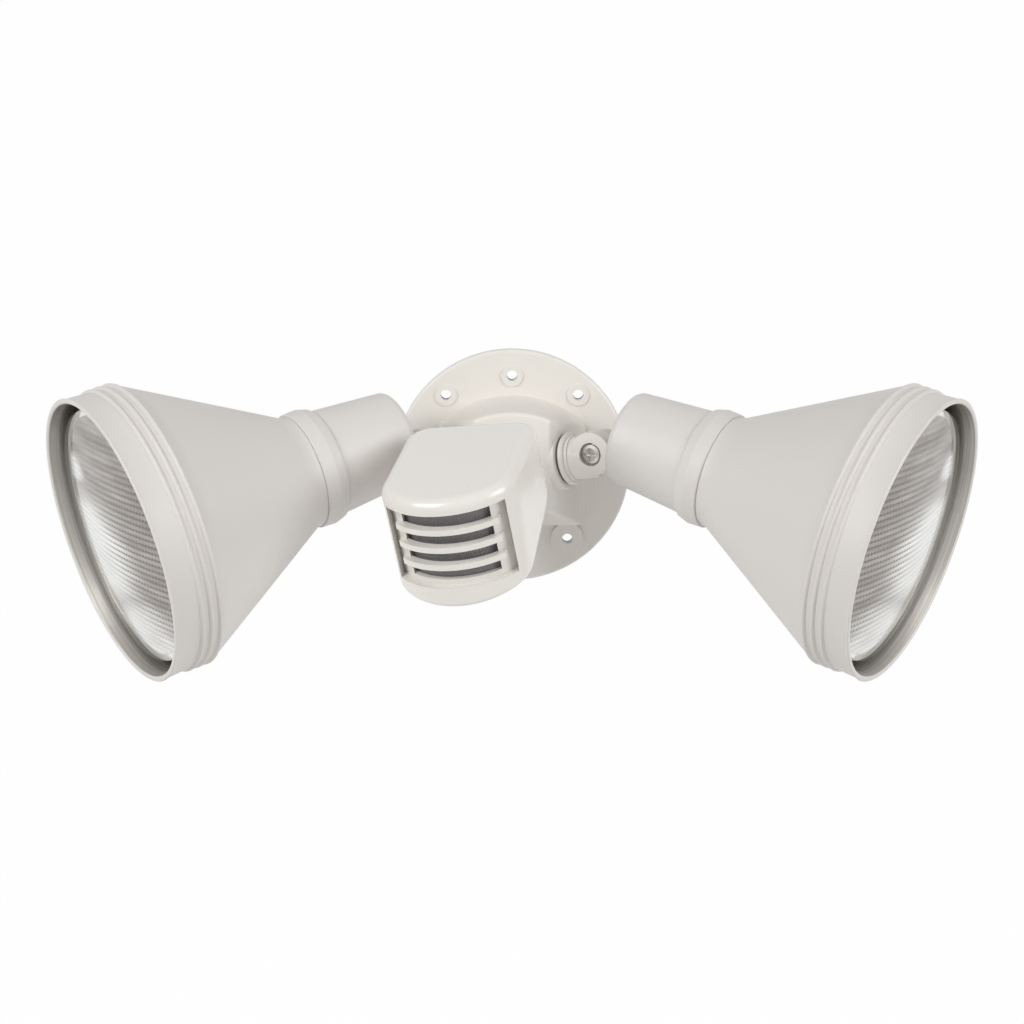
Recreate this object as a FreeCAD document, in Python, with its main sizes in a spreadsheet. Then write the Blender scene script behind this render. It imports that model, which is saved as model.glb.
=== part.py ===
"""Motion sensor security light: a wall fixture with two flood lamps and a sensor head.

Frame: millimetres, +Z up, the wall is the plane Y = 0, the front looks along -Y, and the origin is the
middle of the wall face. "Left" and "right" are those of a person who faces the light.
"""
import FreeCAD, Part
import math
import os
import Sketcher

V = FreeCAD.Vector

# ----------------------------------------------------------------------------------------------------
# Driving dimensions (millimetres and degrees)
# ----------------------------------------------------------------------------------------------------
DIMENSIONS = {
    # round cover plate
    "plate_diameter": 114.3,
    "plate_thickness": 4.5,
    "plate_edge_round": 1.5,
    "wall_gasket_thickness": 1.5,
    "wall_gasket_width": 12.0,
    "mount_hole_diameter": 5.2,
    "mount_pitch_vertical": 88.9,
    "upper_hole_spread": 64.0,
    "upper_hole_height": 35.0,
    "lower_hole_spread": 54.0,
    "lower_hole_drop": 36.0,
    "hole_ring_diameter": 10.5,
    "hole_ring_height": 0.6,
    "hole_pad_diameter": 16.0,
    "hole_pad_height": 1.6,
    # wiring housing
    "housing_depth": 39.0,
    "housing_front_half": 18.0,
    "housing_front_top": 32.0,
    "housing_front_drop": 26.0,
    "housing_draft": 5.0,
    "housing_arch_radius": 53.0,
    "housing_wall": 3.0,
    "housing_round": 2.0,
    "chin_height": 16.0,
    # lamp ports
    "port_angle": 62.0,
    "port_rise": 10.6,
    "port_depth": 27.0,
    "port_height": 7.4,
    "port_boss_diameter": 29.0,
    "port_boss_height": 2.5,
    "port_bore": 20.9,
    "seal_diameter": 24.2,
    "seal_thickness": 1.0,
    "locknut_diameter": 25.4,
    "locknut_thickness": 2.5,
    # sensor port
    "sensor_port_drop": 66.0,
    "sensor_port_depth": 30.0,
    "sensor_boss_diameter": 22.0,
    "sensor_boss_height": 1.5,
    "sensor_bore": 13.2,
    "sensor_seal_diameter": 19.0,
    "sensor_locknut_diameter": 18.0,
    "sensor_locknut_thickness": 2.0,
    # earthing screw
    "ground_post_diameter": 8.0,
    "ground_post_length": 9.0,
    "ground_screw_height": 20.0,
    "ground_thread_diameter": 4.0,
    "ground_thread_length": 7.0,
    "ground_head_diameter": 7.5,
    "ground_head_height": 2.6,
    # lamp arm and its knuckle
    "thread_clearance": 0.05,
    "nipple_length": 12.0,
    "wire_bore": 11.0,
    "shoulder_diameter": 22.0,
    "shoulder_height": 1.6,
    "arm_diameter": 20.5,
    "arm_reach": 20.0,
    "knuckle_rise": 2.0,
    "arm_lug_diameter": 21.0,
    "arm_lug_thickness": 9.6,
    "holder_lug_diameter": 19.0,
    "holder_lug_thickness": 8.4,
    "lug_gap": 0.3,
    "lug_sweep_gap": 3.0,
    "holder_web_drop": 6.0,
    "holder_web_rise": 7.5,
    "knuckle_screw_diameter": 6.0,
    "screw_clearance": 0.05,
    "screw_head_diameter": 9.2,
    "screw_head_height": 2.6,
    "screw_recess_diameter": 11.2,
    "screw_recess_depth": 3.0,
    "knuckle_washer_thickness": 0.8,
    # aim of the lamps as photographed
    "lamp_tilt": 13.7,
    # lamp holder
    "axis_rise": 11.5,
    "holder_rear": 11.5,
    "holder_rear_diameter": 45.0,
    "holder_front_diameter": 50.6,
    "holder_length": 39.5,
    "holder_wall": 2.6,
    "holder_rear_round": 3.8,
    "spigot_length": 13.0,
    "spigot_diameter": 45.6,
    "wire_hole": 8.0,
    # shade
    "rim_distance": 162.0,
    "rim_diameter": 136.0,
    "shade_wall": 1.4,
    "band_length": 24.0,
    "lip_length": 10.5,
    "ridge_count": 3,
    "ridge_height": 1.1,
    "cone_length": 72.0,
    "neck_diameter": 53.8,
    "neck_lip": 2.5,
    "rim_roll": 0.5,
    # collar between shade and holder
    "collar_diameter": 55.6,
    "collar_crown": 1.0,
    "collar_fit": 0.15,
    # reflector lamp (PAR38)
    "bulb_clearance": 5.0,
    "bulb_recess": 6.0,
    "bulb_skirt": 9.0,
    "bulb_lens_dome": 5.0,
    "bulb_lens_thickness": 2.2,
    "bulb_glass": 2.6,
    "bulb_neck_diameter": 34.0,
    "bulb_length": 131.0,
    "bulb_base_diameter": 26.0,
    "bulb_base_length": 23.0,
    "bulb_cup_length": 74.0,
    "bulb_cup_diameter": 56.0,
    "bulb_gasket_thickness": 5.0,
    "capsule_diameter": 13.0,
    "capsule_length": 42.0,
    # lamp socket
    "shell_clearance": 0.35,
    "shell_wall": 0.45,
    "shell_length": 17.5,
    "insulator_wall": 4.6,
    "insulator_floor": 6.0,
    "contact_width": 6.0,
    "contact_thickness": 0.6,
    "contact_rise": 2.2,
    # sensor arm and its knuckle
    "sensor_nipple_length": 9.0,
    "sensor_wire_bore": 7.0,
    "sensor_shoulder_diameter": 16.0,
    "sensor_arm_diameter": 12.4,
    "sensor_arm_reach": 17.0,
    "sensor_lug_diameter": 16.0,
    "sensor_lug_thickness": 6.4,
    "sensor_sweep_gap": 2.6,
    "sensor_screw_diameter": 4.0,
    "sensor_screw_head_diameter": 7.0,
    "sensor_screw_head_height": 2.2,
    "sensor_nut_diameter": 8.0,
    "sensor_nut_height": 3.0,
    "sensor_nut_sink": 1.6,
    # aim of the sensor head as photographed
    "sensor_swivel": 16.0,
    "sensor_tilt": 16.4,
    # sensor head
    "head_width": 62.6,
    "head_side": 60.0,
    "head_arc_surplus": 4.6175,
    "head_height": 54.2,
    "head_rear_height": 26.0,
    "head_setback": 20.8,
    "head_rise": 80.6,
    "head_offset": 1.4,
    "head_wall": 2.5,
    "head_roof": 2.6,
    "head_top_round": 5.0,
    "head_foot_round": 2.0,
    "head_corner_round": 12.0,
    "head_front_round": 20.0,
    "roof_lip": 7.0,
    "belly_angle": 32.5,
    "belly_break": 22.0,
    "chin_lip": 10.5,
    "recess_depth": 4.0,
    "recess_margin": 3.6,
    "window_side": 10.8,
    "window_top": 8.6,
    "window_bottom": 41.2,
    "bar_count": 3,
    "bar_height": 2.8,
    "bar_proud": 3.0,
    "bar_side": 7.3,
    "lens_thickness": 1.0,
    "lens_gap": 0.25,
    "lens_side": 7.8,
    "lens_margin": 2.6,
    "retainer_thickness": 1.6,
    "cover_thickness": 2.5,
    "cover_fit": 0.25,
    # stalk between knuckle and head
    "stalk_diameter": 12.0,
    "stalk_foot_diameter": 14.0,
    "stalk_flange_diameter": 18.0,
    "stalk_flange_height": 3.0,
    # inside the head
    "board_thickness": 1.6,
    "board_depth": 28.0,
    "board_top": 7.0,
    "board_height": 30.0,
    "detector_diameter": 9.2,
    "detector_height": 4.6,
    "detector_level": 24.0,
    "relay_length": 18.5,
    "relay_width": 12.0,
    "relay_height": 15.0,
    "relay_offset": 2.0,
    "capacitor_length": 17.0,
    "capacitor_width": 8.0,
    "capacitor_height": 13.0,
    "capacitor_offset": 3.5,
    "resistor_diameter": 4.6,
    "resistor_length": 14.0,
    "indicator_diameter": 3.0,
    "indicator_length": 5.0,
    "photocell_diameter": 6.0,
    "photocell_height": 3.4,
    "knob_diameter": 9.0,
    "knob_height": 4.0,
    "knob_stem_diameter": 5.0,
    "knob_spread": 26.0,
    "knob_reach": 20.0,
    "adjuster_size": 9.5,
    "adjuster_height": 4.8,
    "cover_screw_diameter": 2.6,
    "cover_screw_head": 5.0,
    "cover_screw_head_height": 1.8,
    "cover_screw_length": 6.5,
    "cover_screw_spread": 44.0,
    "cover_screw_inset": 9.0,
    "cover_screw_pitch": 35.0,
    "cover_post_diameter": 6.4,
    "slot_width": 1.1,
    "slot_depth": 1.2,
}


class Size:
    """A length or an angle: its formula in cells of the sheet, and its present value."""

    def __init__(self, text, value):
        self.text = text
        self.value = value

    def joined(self, sign, other, value):
        return Size("(%s %s %s)" % (self.text, sign, as_size(other).text), value)

    def __add__(self, other):
        return self.joined("+", other, self.value + as_size(other).value)

    def __sub__(self, other):
        return self.joined("-", other, self.value - as_size(other).value)

    def __rsub__(self, other):
        return as_size(other) - self

    def __mul__(self, other):
        return self.joined("*", other, self.value * as_size(other).value)

    def __truediv__(self, other):
        return self.joined("/", other, self.value / as_size(other).value)

    def __neg__(self):
        return Size("(0 - %s)" % self.text, -self.value)

    __radd__ = __add__
    __rmul__ = __mul__


def as_size(number):
    """Return a Size for a plain number, and a Size as it is."""
    if isinstance(number, Size):
        return number
    return Size("%.9g" % number, float(number))


def sine(angle):
    return Size("sin(%s)" % angle.text, math.sin(math.radians(angle.value)))


def cosine(angle):
    return Size("cos(%s)" % angle.text, math.cos(math.radians(angle.value)))


def tangent(angle):
    return Size("tan(%s)" % angle.text, math.tan(math.radians(angle.value)))


def root(square):
    return Size("sqrt(%s)" % square.text, math.sqrt(square.value))


class Sizes:
    """The driving dimensions by name."""

    def __getattr__(self, name):
        return Size("Sizes." + name, float(DIMENSIONS[name]))


d = Sizes()
doc = FreeCAD.newDocument("SecurityLight")
NODES = []


# ----------------------------------------------------------------------------------------------------
# Sheet, sketches and features
# ----------------------------------------------------------------------------------------------------
def make_sheet():
    """Write every driving dimension into the sheet, with its name as alias."""
    sheet = doc.addObject("Spreadsheet::Sheet", "Sizes")
    for row, (name, value) in enumerate(DIMENSIONS.items(), start=1):
        sheet.set("A%d" % row, name)
        sheet.set("B%d" % row, str(value))
        sheet.setAlias("B%d" % row, name)
    doc.recompute()


def bind(thing, prop, size):
    """Set a property, and tie it to the sheet where it is a formula."""
    size = as_size(size)
    setattr(thing, prop, size.value)
    if "Sizes." in size.text:
        thing.setExpression(prop, size.text)


def node(thing, label, placement=None):
    """Name a finished sub-part, place it and list it for export."""
    thing.Label = label
    if placement is not None:
        thing.Placement = placement
    NODES.append(thing)
    return thing


def plane_of(body, role):
    """Return the origin plane of a body that has this role."""
    for feature in body.Origin.OriginFeatures:
        if feature.Role == role:
            return feature
    raise ValueError(role)


def arc_of(start, end, radius):
    """Return the arc from start to end. Its centre lies left of the chord for a positive radius."""
    chord = end - start
    half = chord.Length / 2
    rise = math.sqrt(max(radius * radius - half * half, 0.0))
    left = V(-chord.y, chord.x, 0).normalize()
    turn = 1 if radius > 0 else -1
    centre = (start + end) / 2 + left * rise * turn
    first, last = (start, end) if turn > 0 else (end, start)
    angles = [math.atan2(p.y - centre.y, p.x - centre.x) for p in (first, last)]
    return Part.ArcOfCircle(Part.Circle(centre, V(0, 0, 1), abs(radius)), angles[0], angles[1])


def fix_corner(sketch, edge, vertex, corner):
    """Tie one end of an edge to its place in the sketch."""
    for axis, kind, size in ((-2, "DistanceX", corner[0]), (-1, "DistanceY", corner[1])):
        size = as_size(size)
        if "Sizes." not in size.text and size.value == 0:
            sketch.addConstraint(Sketcher.Constraint("PointOnObject", edge, vertex, axis))
            continue
        index = sketch.addConstraint(Sketcher.Constraint(kind, -1, 1, edge, vertex, size.value))
        if "Sizes." in size.text:
            sketch.setExpression("Constraints[%d]" % index, size.text)


def outline(body, name, role, corners, offset=0):
    """Sketch a closed outline. A corner is (x, y), or (x, y, radius) where an arc leads to the next."""
    sketch = body.newObject("Sketcher::SketchObject", name)
    sketch.AttachmentSupport = [(plane_of(body, role), "")]
    sketch.MapMode = "FlatFace"
    lift = as_size(offset)
    sketch.AttachmentOffset = FreeCAD.Placement(V(0, 0, lift.value), FreeCAD.Rotation())
    if "Sizes." in lift.text:
        sketch.setExpression("AttachmentOffset.Base.z", lift.text)
    points = [V(as_size(c[0]).value, as_size(c[1]).value, 0) for c in corners]
    starts = []
    ends = []
    for i, corner in enumerate(corners):
        following = points[(i + 1) % len(points)]
        if len(corner) == 3:
            radius = as_size(corner[2])
            sketch.addGeometry(arc_of(points[i], following, radius.value))
            starts.append(1 if radius.value > 0 else 2)
            ends.append(2 if radius.value > 0 else 1)
        else:
            sketch.addGeometry(Part.LineSegment(points[i], following))
            starts.append(1)
            ends.append(2)
    for i, corner in enumerate(corners):
        before = i - 1 if i else len(corners) - 1
        joint = Sketcher.Constraint("Coincident", before, ends[before], i, starts[i])
        sketch.addConstraint(joint)
        fix_corner(sketch, i, starts[i], corner)
    for i, corner in enumerate(corners):
        if len(corner) == 3:
            radius = as_size(corner[2])
            index = sketch.addConstraint(Sketcher.Constraint("Radius", i, abs(radius.value)))
            sketch.setExpression("Constraints[%d]" % index, "abs(%s)" % radius.text)
    return sketch


def circle(body, name, role, x, y, radius, offset=0):
    """Sketch one circle."""
    sketch = body.newObject("Sketcher::SketchObject", name)
    sketch.AttachmentSupport = [(plane_of(body, role), "")]
    sketch.MapMode = "FlatFace"
    lift = as_size(offset)
    sketch.AttachmentOffset = FreeCAD.Placement(V(0, 0, lift.value), FreeCAD.Rotation())
    if "Sizes." in lift.text:
        sketch.setExpression("AttachmentOffset.Base.z", lift.text)
    x, y, radius = as_size(x), as_size(y), as_size(radius)
    sketch.addGeometry(Part.Circle(V(x.value, y.value, 0), V(0, 0, 1), radius.value))
    fix_corner(sketch, 0, 3, (x, y))
    index = sketch.addConstraint(Sketcher.Constraint("Radius", 0, radius.value))
    sketch.setExpression("Constraints[%d]" % index, radius.text)
    return sketch


def new_body(name):
    return doc.addObject("PartDesign::Body", name)


def pad(body, sketch, length, symmetric=False, backwards=False):
    """Pad a sketch along its normal."""
    feature = body.newObject("PartDesign::Pad", sketch.Name + "Pad")
    feature.Profile = sketch
    bind(feature, "Length", length)
    feature.SideType = "Symmetric" if symmetric else "One side"
    feature.Reversed = backwards
    return feature


def pocket(body, sketch, length, symmetric=False, backwards=False):
    """Cut a sketch out of its body."""
    feature = body.newObject("PartDesign::Pocket", sketch.Name + "Pocket")
    feature.Profile = sketch
    bind(feature, "Length", length)
    feature.SideType = "Symmetric" if symmetric else "One side"
    feature.Reversed = backwards
    return feature


def loft(body, first, last):
    """Loft between two sketches with as many corners."""
    feature = body.newObject("PartDesign::AdditiveLoft", first.Name + "Loft")
    feature.Profile = first
    feature.Sections = [(last, [""])]
    feature.Ruled = True
    return feature


def turned(name, corners):
    """Return a body turned about its own X axis, from corners (along the axis, radius)."""
    body = new_body(name)
    sketch = outline(body, name + "Profile", "XZ_Plane", corners)
    feature = body.newObject("PartDesign::Revolution", name + "Turn")
    feature.Profile = sketch
    feature.ReferenceAxis = (sketch, ["H_Axis"])
    feature.Angle = 360.0
    return body


def prism(name, role, corners, length, offset=0, symmetric=False, backwards=False):
    """Return a body padded from one outline."""
    body = new_body(name)
    sketch = outline(body, name + "Outline", role, corners, offset)
    pad(body, sketch, length, symmetric, backwards)
    return body


def fillet(body, name, radius, wanted):
    """Round the edges of a body's tip that the test picks."""
    doc.recompute()
    tip = body.Tip
    names = ["Edge%d" % (i + 1) for i, edge in enumerate(tip.Shape.Edges) if wanted(edge)]
    feature = body.newObject("PartDesign::Fillet", name)
    feature.Base = (tip, names)
    bind(feature, "Radius", radius)
    return feature


def cylinder(name, radius, height, placement):
    """Return a cylinder along the Z axis of its placement."""
    thing = doc.addObject("Part::Cylinder", name)
    bind(thing, "Radius", radius)
    bind(thing, "Height", height)
    thing.Placement = placement
    return thing


def cone(name, radius1, radius2, height, placement):
    """Return a cone along the Z axis of its placement."""
    thing = doc.addObject("Part::Cone", name)
    bind(thing, "Radius1", radius1)
    bind(thing, "Radius2", radius2)
    bind(thing, "Height", height)
    thing.Placement = placement
    return thing


def box(name, low, size):
    """Return a box from its lowest corner and its three sizes."""
    thing = doc.addObject("Part::Box", name)
    for prop, value in zip(("Length", "Width", "Height"), size):
        bind(thing, prop, value)
    thing.Placement = place(HOME, low[0], low[1], low[2])
    return thing


def fuse(name, things):
    thing = doc.addObject("Part::MultiFuse", name)
    thing.Shapes = things
    thing.Refine = True
    return thing


def cut(name, base, tool):
    thing = doc.addObject("Part::Cut", name)
    thing.Base = base
    thing.Tool = tool
    thing.Refine = True
    return thing


def common(name, things):
    thing = doc.addObject("Part::MultiCommon", name)
    thing.Shapes = things
    thing.Refine = True
    return thing


def compound(name, things):
    thing = doc.addObject("Part::Compound", name)
    thing.Links = things
    return thing


# ----------------------------------------------------------------------------------------------------
# Frames: each has its origin where the piece is held
# ----------------------------------------------------------------------------------------------------
def heading(turn, rise):
    """Return the direction at an angle from the front (-Y) towards +X, and above the level."""
    level = math.cos(math.radians(rise))
    east = math.sin(math.radians(turn))
    north = math.cos(math.radians(turn))
    return V(level * east, -level * north, math.sin(math.radians(rise)))


def frame(origin, along, upward):
    """Return the placement with this X axis, and with Z as near to upward as can be."""
    x = V(along).normalize()
    z = V(upward) - x * x.dot(V(upward))
    z.normalize()
    y = z.cross(x)
    return FreeCAD.Placement(origin, FreeCAD.Rotation(x, y, z, "XZY"))


def place(base, x, y, z, axis=None):
    """Return a placement inside a frame, with its Z axis along one of the frame's axes."""
    turns = {
        None: FreeCAD.Rotation(),
        "x": FreeCAD.Rotation(V(0, 1, 0), 90),
        "-x": FreeCAD.Rotation(V(0, 1, 0), -90),
        "y": FreeCAD.Rotation(V(1, 0, 0), -90),
        "-y": FreeCAD.Rotation(V(1, 0, 0), 90),
        "-z": FreeCAD.Rotation(V(1, 0, 0), 180),
    }
    spot = V(as_size(x).value, as_size(y).value, as_size(z).value)
    return base.multiply(FreeCAD.Placement(spot, turns[axis]))


HOME = FreeCAD.Placement()
side_slope = tangent(90 - d.port_angle)
draft_slope = tangent(d.housing_draft)
chin_slope = tangent(90 - d.sensor_port_drop)


def port_frame(side):
    """Frame of a lamp port: origin on the housing's slanted side, X out along the arm."""
    x = d.housing_front_half + (d.housing_depth - d.port_depth) * side_slope
    origin = V(side * x.value, -d.port_depth.value, d.port_height.value)
    return frame(origin, heading(side * d.port_angle.value, d.port_rise.value), V(0, 0, 1))


def lamp_frame(side):
    """Frame of a lamp: X along its axis, and the origin on that axis, straight above the knuckle."""
    pivot = port_frame(side).multVec(V(d.arm_reach.value, 0, d.knuckle_rise.value))
    along = heading(side * d.port_angle.value, -d.lamp_tilt.value)
    upward = heading(side * d.port_angle.value, 90 - d.lamp_tilt.value)
    return frame(pivot + upward * d.axis_rise.value, along, upward)


def sensor_port_frame(swivel=0.0):
    """Frame of the sensor port: origin on the housing's slanted chin, X down along the arm."""
    z = -(d.chin_height + (d.housing_depth - d.sensor_port_depth) * chin_slope)
    along = heading(0, -d.sensor_port_drop.value)
    rest = frame(V(0, -d.sensor_port_depth.value, z.value), along, heading(0, 90 - d.sensor_port_drop.value))
    return FreeCAD.Placement(rest.Base, FreeCAD.Rotation(along, swivel).multiply(rest.Rotation))


def sensor_knuckle_frame():
    """Frame of the sensor's knuckle: origin on the tilt axis, which is X, turned as the head is."""
    port = sensor_port_frame(d.sensor_swivel.value)
    pivot = port.multVec(V(d.sensor_arm_reach.value, 0, 0))
    swivel = FreeCAD.Rotation(heading(0, -d.sensor_port_drop.value), d.sensor_swivel.value)
    tilt = FreeCAD.Rotation(V(1, 0, 0), d.sensor_tilt.value)
    return FreeCAD.Placement(pivot, swivel.multiply(tilt))


def head_frame():
    """Frame of the sensor head: as its knuckle, but with X from the head's middle. Its front is along -Y."""
    return sensor_knuckle_frame().multiply(FreeCAD.Placement(V(d.head_offset.value, 0, 0), FreeCAD.Rotation()))


# ----------------------------------------------------------------------------------------------------
# Base: plate, housing, gasket, ports
# ----------------------------------------------------------------------------------------------------
def housing_outline(depth, inset):
    """Corners of the housing's section at a distance from the wall: flat foot, arched top."""
    back = d.housing_depth - depth
    half = d.housing_front_half + back * side_slope - inset / sine(d.port_angle)
    top = d.housing_front_top + back * draft_slope - inset
    foot = -(d.housing_front_drop + back * draft_slope - inset)
    radius = d.housing_arch_radius - inset
    shoulder = top - radius + root(radius * radius - half * half)
    return [(-half, foot), (half, foot), (half, shoulder, radius), (-half, shoulder)]


def housing_form(name, inset, start):
    """The housing as a solid form, from a distance to the wall up to its front."""
    body = new_body(name)
    front = d.housing_depth - inset
    rear_sketch = outline(body, name + "Rear", "XZ_Plane", housing_outline(start, inset), start)
    front_sketch = outline(body, name + "Front", "XZ_Plane", housing_outline(front, inset), front)
    loft(body, rear_sketch, front_sketch)
    over = as_size(2)
    lift = inset / cosine(90 - d.sensor_port_drop)
    near = -d.housing_depth - over
    far = -(d.plate_thickness + d.wall_gasket_thickness + over)
    low = -(d.housing_front_drop * 2)
    edge_near = -(d.chin_height - over * chin_slope) + lift
    edge_far = -(d.chin_height + (d.housing_depth + far) * chin_slope) + lift
    corners = [(near, edge_near), (near, low), (far, low), (far, edge_far)]
    chin = outline(body, name + "Chin", "YZ_Plane", corners)
    pocket(body, chin, d.housing_front_half * 6, symmetric=True)
    return body


def mount_places():
    """Hole centres as (x, z): the vertical pair, the upper pair, the lower pair."""
    vertical = [(as_size(0), d.mount_pitch_vertical / 2), (as_size(0), -d.mount_pitch_vertical / 2)]
    upper = [(d.upper_hole_spread / 2 * s, d.upper_hole_height) for s in (-1, 1)]
    lower = [(d.lower_hole_spread / 2 * s, -d.lower_hole_drop) for s in (-1, 1)]
    return vertical, upper, lower


def make_disc():
    """The round plate with its rounded front edge."""
    body = new_body("PlateDisc")
    sketch = circle(body, "DiscCircle", "XZ_Plane", 0, 0, d.plate_diameter / 2, d.wall_gasket_thickness)
    pad(body, sketch, d.plate_thickness)
    front = -(d.plate_thickness + d.wall_gasket_thickness).value
    fillet(body, "DiscRound", d.plate_edge_round, lambda e: abs(e.CenterOfMass.y - front) < 1e-6)
    return body


def make_housing():
    """The outer form of the wiring housing, with its front edges rounded."""
    body = housing_form("HousingOuter", as_size(0), d.wall_gasket_thickness)
    front = -d.housing_depth.value
    plate_front = -(d.plate_thickness + d.wall_gasket_thickness).value
    fillet(body, "HousingRound", d.housing_round,
           lambda e: e.BoundBox.YMin < front + 1e-4 and e.BoundBox.YMax < plate_front + 6)
    return body


def raised_rings(vertical, upper, lower):
    """The small raised rings round the holes, and the taller pads of the lower pair."""
    face = -(d.plate_thickness + d.wall_gasket_thickness)
    things = []
    for i, (x, z) in enumerate(vertical + upper):
        spot = place(HOME, x, face + 1, z, "-y")
        things.append(cylinder("HoleRing%d" % i, d.hole_ring_diameter / 2, d.hole_ring_height + 1, spot))
    for i, (x, z) in enumerate(lower):
        spot = place(HOME, x, face + 1, z, "-y")
        things.append(cylinder("HolePad%d" % i, d.hole_pad_diameter / 2, d.hole_pad_height + 1, spot))
    return things


def make_wall_plate():
    """Cover plate and housing in one casting, with ports, holes and the earthing post."""
    vertical, upper, lower = mount_places()
    form = fuse("PlateForm", [make_disc(), make_housing()] + raised_rings(vertical, upper, lower))
    hollow = cut("PlateHollow", form, housing_form("HousingCore", d.housing_wall, as_size(0)))
    grown = [hollow]
    bores = []
    run_in = d.housing_wall + 2.5
    for side, name in ((-1, "Left"), (1, "Right")):
        port = port_frame(side)
        grown.append(cylinder("PortBoss" + name, d.port_boss_diameter / 2, d.port_boss_height + run_in,
                              place(port, -run_in, 0, 0, "x")))
        bores.append(cylinder("PortBore" + name, d.port_bore / 2, run_in * 3,
                              place(port, -run_in * 2, 0, 0, "x")))
    port = sensor_port_frame()
    grown.append(cylinder("SensorBoss", d.sensor_boss_diameter / 2, d.sensor_boss_height + run_in,
                          place(port, -run_in, 0, 0, "x")))
    bores.append(cylinder("SensorBore", d.sensor_bore / 2, run_in * 3, place(port, -run_in * 2, 0, 0, "x")))
    post_root = -(d.housing_depth - d.housing_wall / 2)
    post = place(HOME, 0, post_root, d.ground_screw_height, "y")
    post_length = d.ground_post_length + d.housing_wall / 2
    grown.append(cylinder("GroundPost", d.ground_post_diameter / 2, post_length, post))
    post_face = -(d.housing_depth - d.housing_wall - d.ground_post_length)
    bores.append(cylinder("GroundBore", d.ground_thread_diameter / 2 + d.thread_clearance,
                          d.ground_thread_length + 0.5,
                          place(HOME, 0, post_face, d.ground_screw_height, "-y")))
    for i, (x, z) in enumerate(vertical + upper + lower):
        bores.append(cylinder("MountHole%d" % i, d.mount_hole_diameter / 2, d.plate_thickness * 3,
                              place(HOME, x, d.wall_gasket_thickness, z, "-y")))
    plate = cut("WallPlate", fuse("PlateGrown", grown), fuse("PlateBores", bores))
    return node(plate, "wall_plate")


def make_wall_gasket():
    """Foam ring behind the plate, with the holes that line up with the plate's."""
    body = new_body("WallGasket")
    radius = d.plate_diameter / 2 - 1
    sketch = circle(body, "GasketCircle", "XZ_Plane", 0, 0, radius)
    pad(body, sketch, d.wall_gasket_thickness)
    # the opening follows the housing's rear, 2 mm outside its cavity
    corners = housing_outline(as_size(0), d.housing_wall - 2)
    opening = outline(body, "GasketOpening", "XZ_Plane", corners)
    pocket(body, opening, d.wall_gasket_thickness, backwards=True)
    vertical, upper, lower = mount_places()
    for i, (x, z) in enumerate(vertical + upper + lower):
        hole = circle(body, "GasketHole%d" % i, "XZ_Plane", x, z, d.mount_hole_diameter / 2)
        pocket(body, hole, d.wall_gasket_thickness, backwards=True)
    return node(body, "wall_gasket")


def make_ground_screw():
    """Earthing screw: round head and a thread in its post."""
    face = -(d.housing_depth - d.housing_wall - d.ground_post_length)
    spot = frame(V(0, face.value, d.ground_screw_height.value), V(0, 1, 0), V(0, 0, 1))
    body = turned("GroundScrew", [
        (-d.ground_thread_length, 0), (d.ground_head_height, 0),
        (d.ground_head_height, d.ground_head_diameter / 2 - 0.8),
        (d.ground_head_height - 0.8, d.ground_head_diameter / 2), (0, d.ground_head_diameter / 2),
        (0, d.ground_thread_diameter / 2), (-d.ground_thread_length, d.ground_thread_diameter / 2)])
    half = d.slot_width / 2
    slot = outline(body, "GroundSlot", "XY_Plane", [
        (d.ground_head_height - d.slot_depth, -half), (d.ground_head_height + 1, -half),
        (d.ground_head_height + 1, half), (d.ground_head_height - d.slot_depth, half)])
    pocket(body, slot, d.ground_head_diameter * 2, symmetric=True)
    return node(body, "ground_screw", spot)


def ring(name, label, start, length, outer, inner, spot, bevel=0.3):
    """A flat ring on an arm's axis, its outer edges bevelled."""
    body = turned(name, [
        (start, inner), (start + length, inner), (start + length, outer - bevel),
        (start + length - bevel, outer), (start + bevel, outer), (start, outer - bevel)])
    return node(body, label, spot)


def make_port_rings(suffix, spot, height, bore, seal, locknut, thickness):
    """Rubber seal and locknut of one port."""
    inner = bore / 2
    ring("PortSeal" + suffix, "port_seal_" + suffix, height, d.seal_thickness, seal / 2, inner, spot)
    ring("PortLocknut" + suffix, "port_locknut_" + suffix, height + d.seal_thickness, thickness,
         locknut / 2, inner, spot, bevel=0.6)


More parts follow.
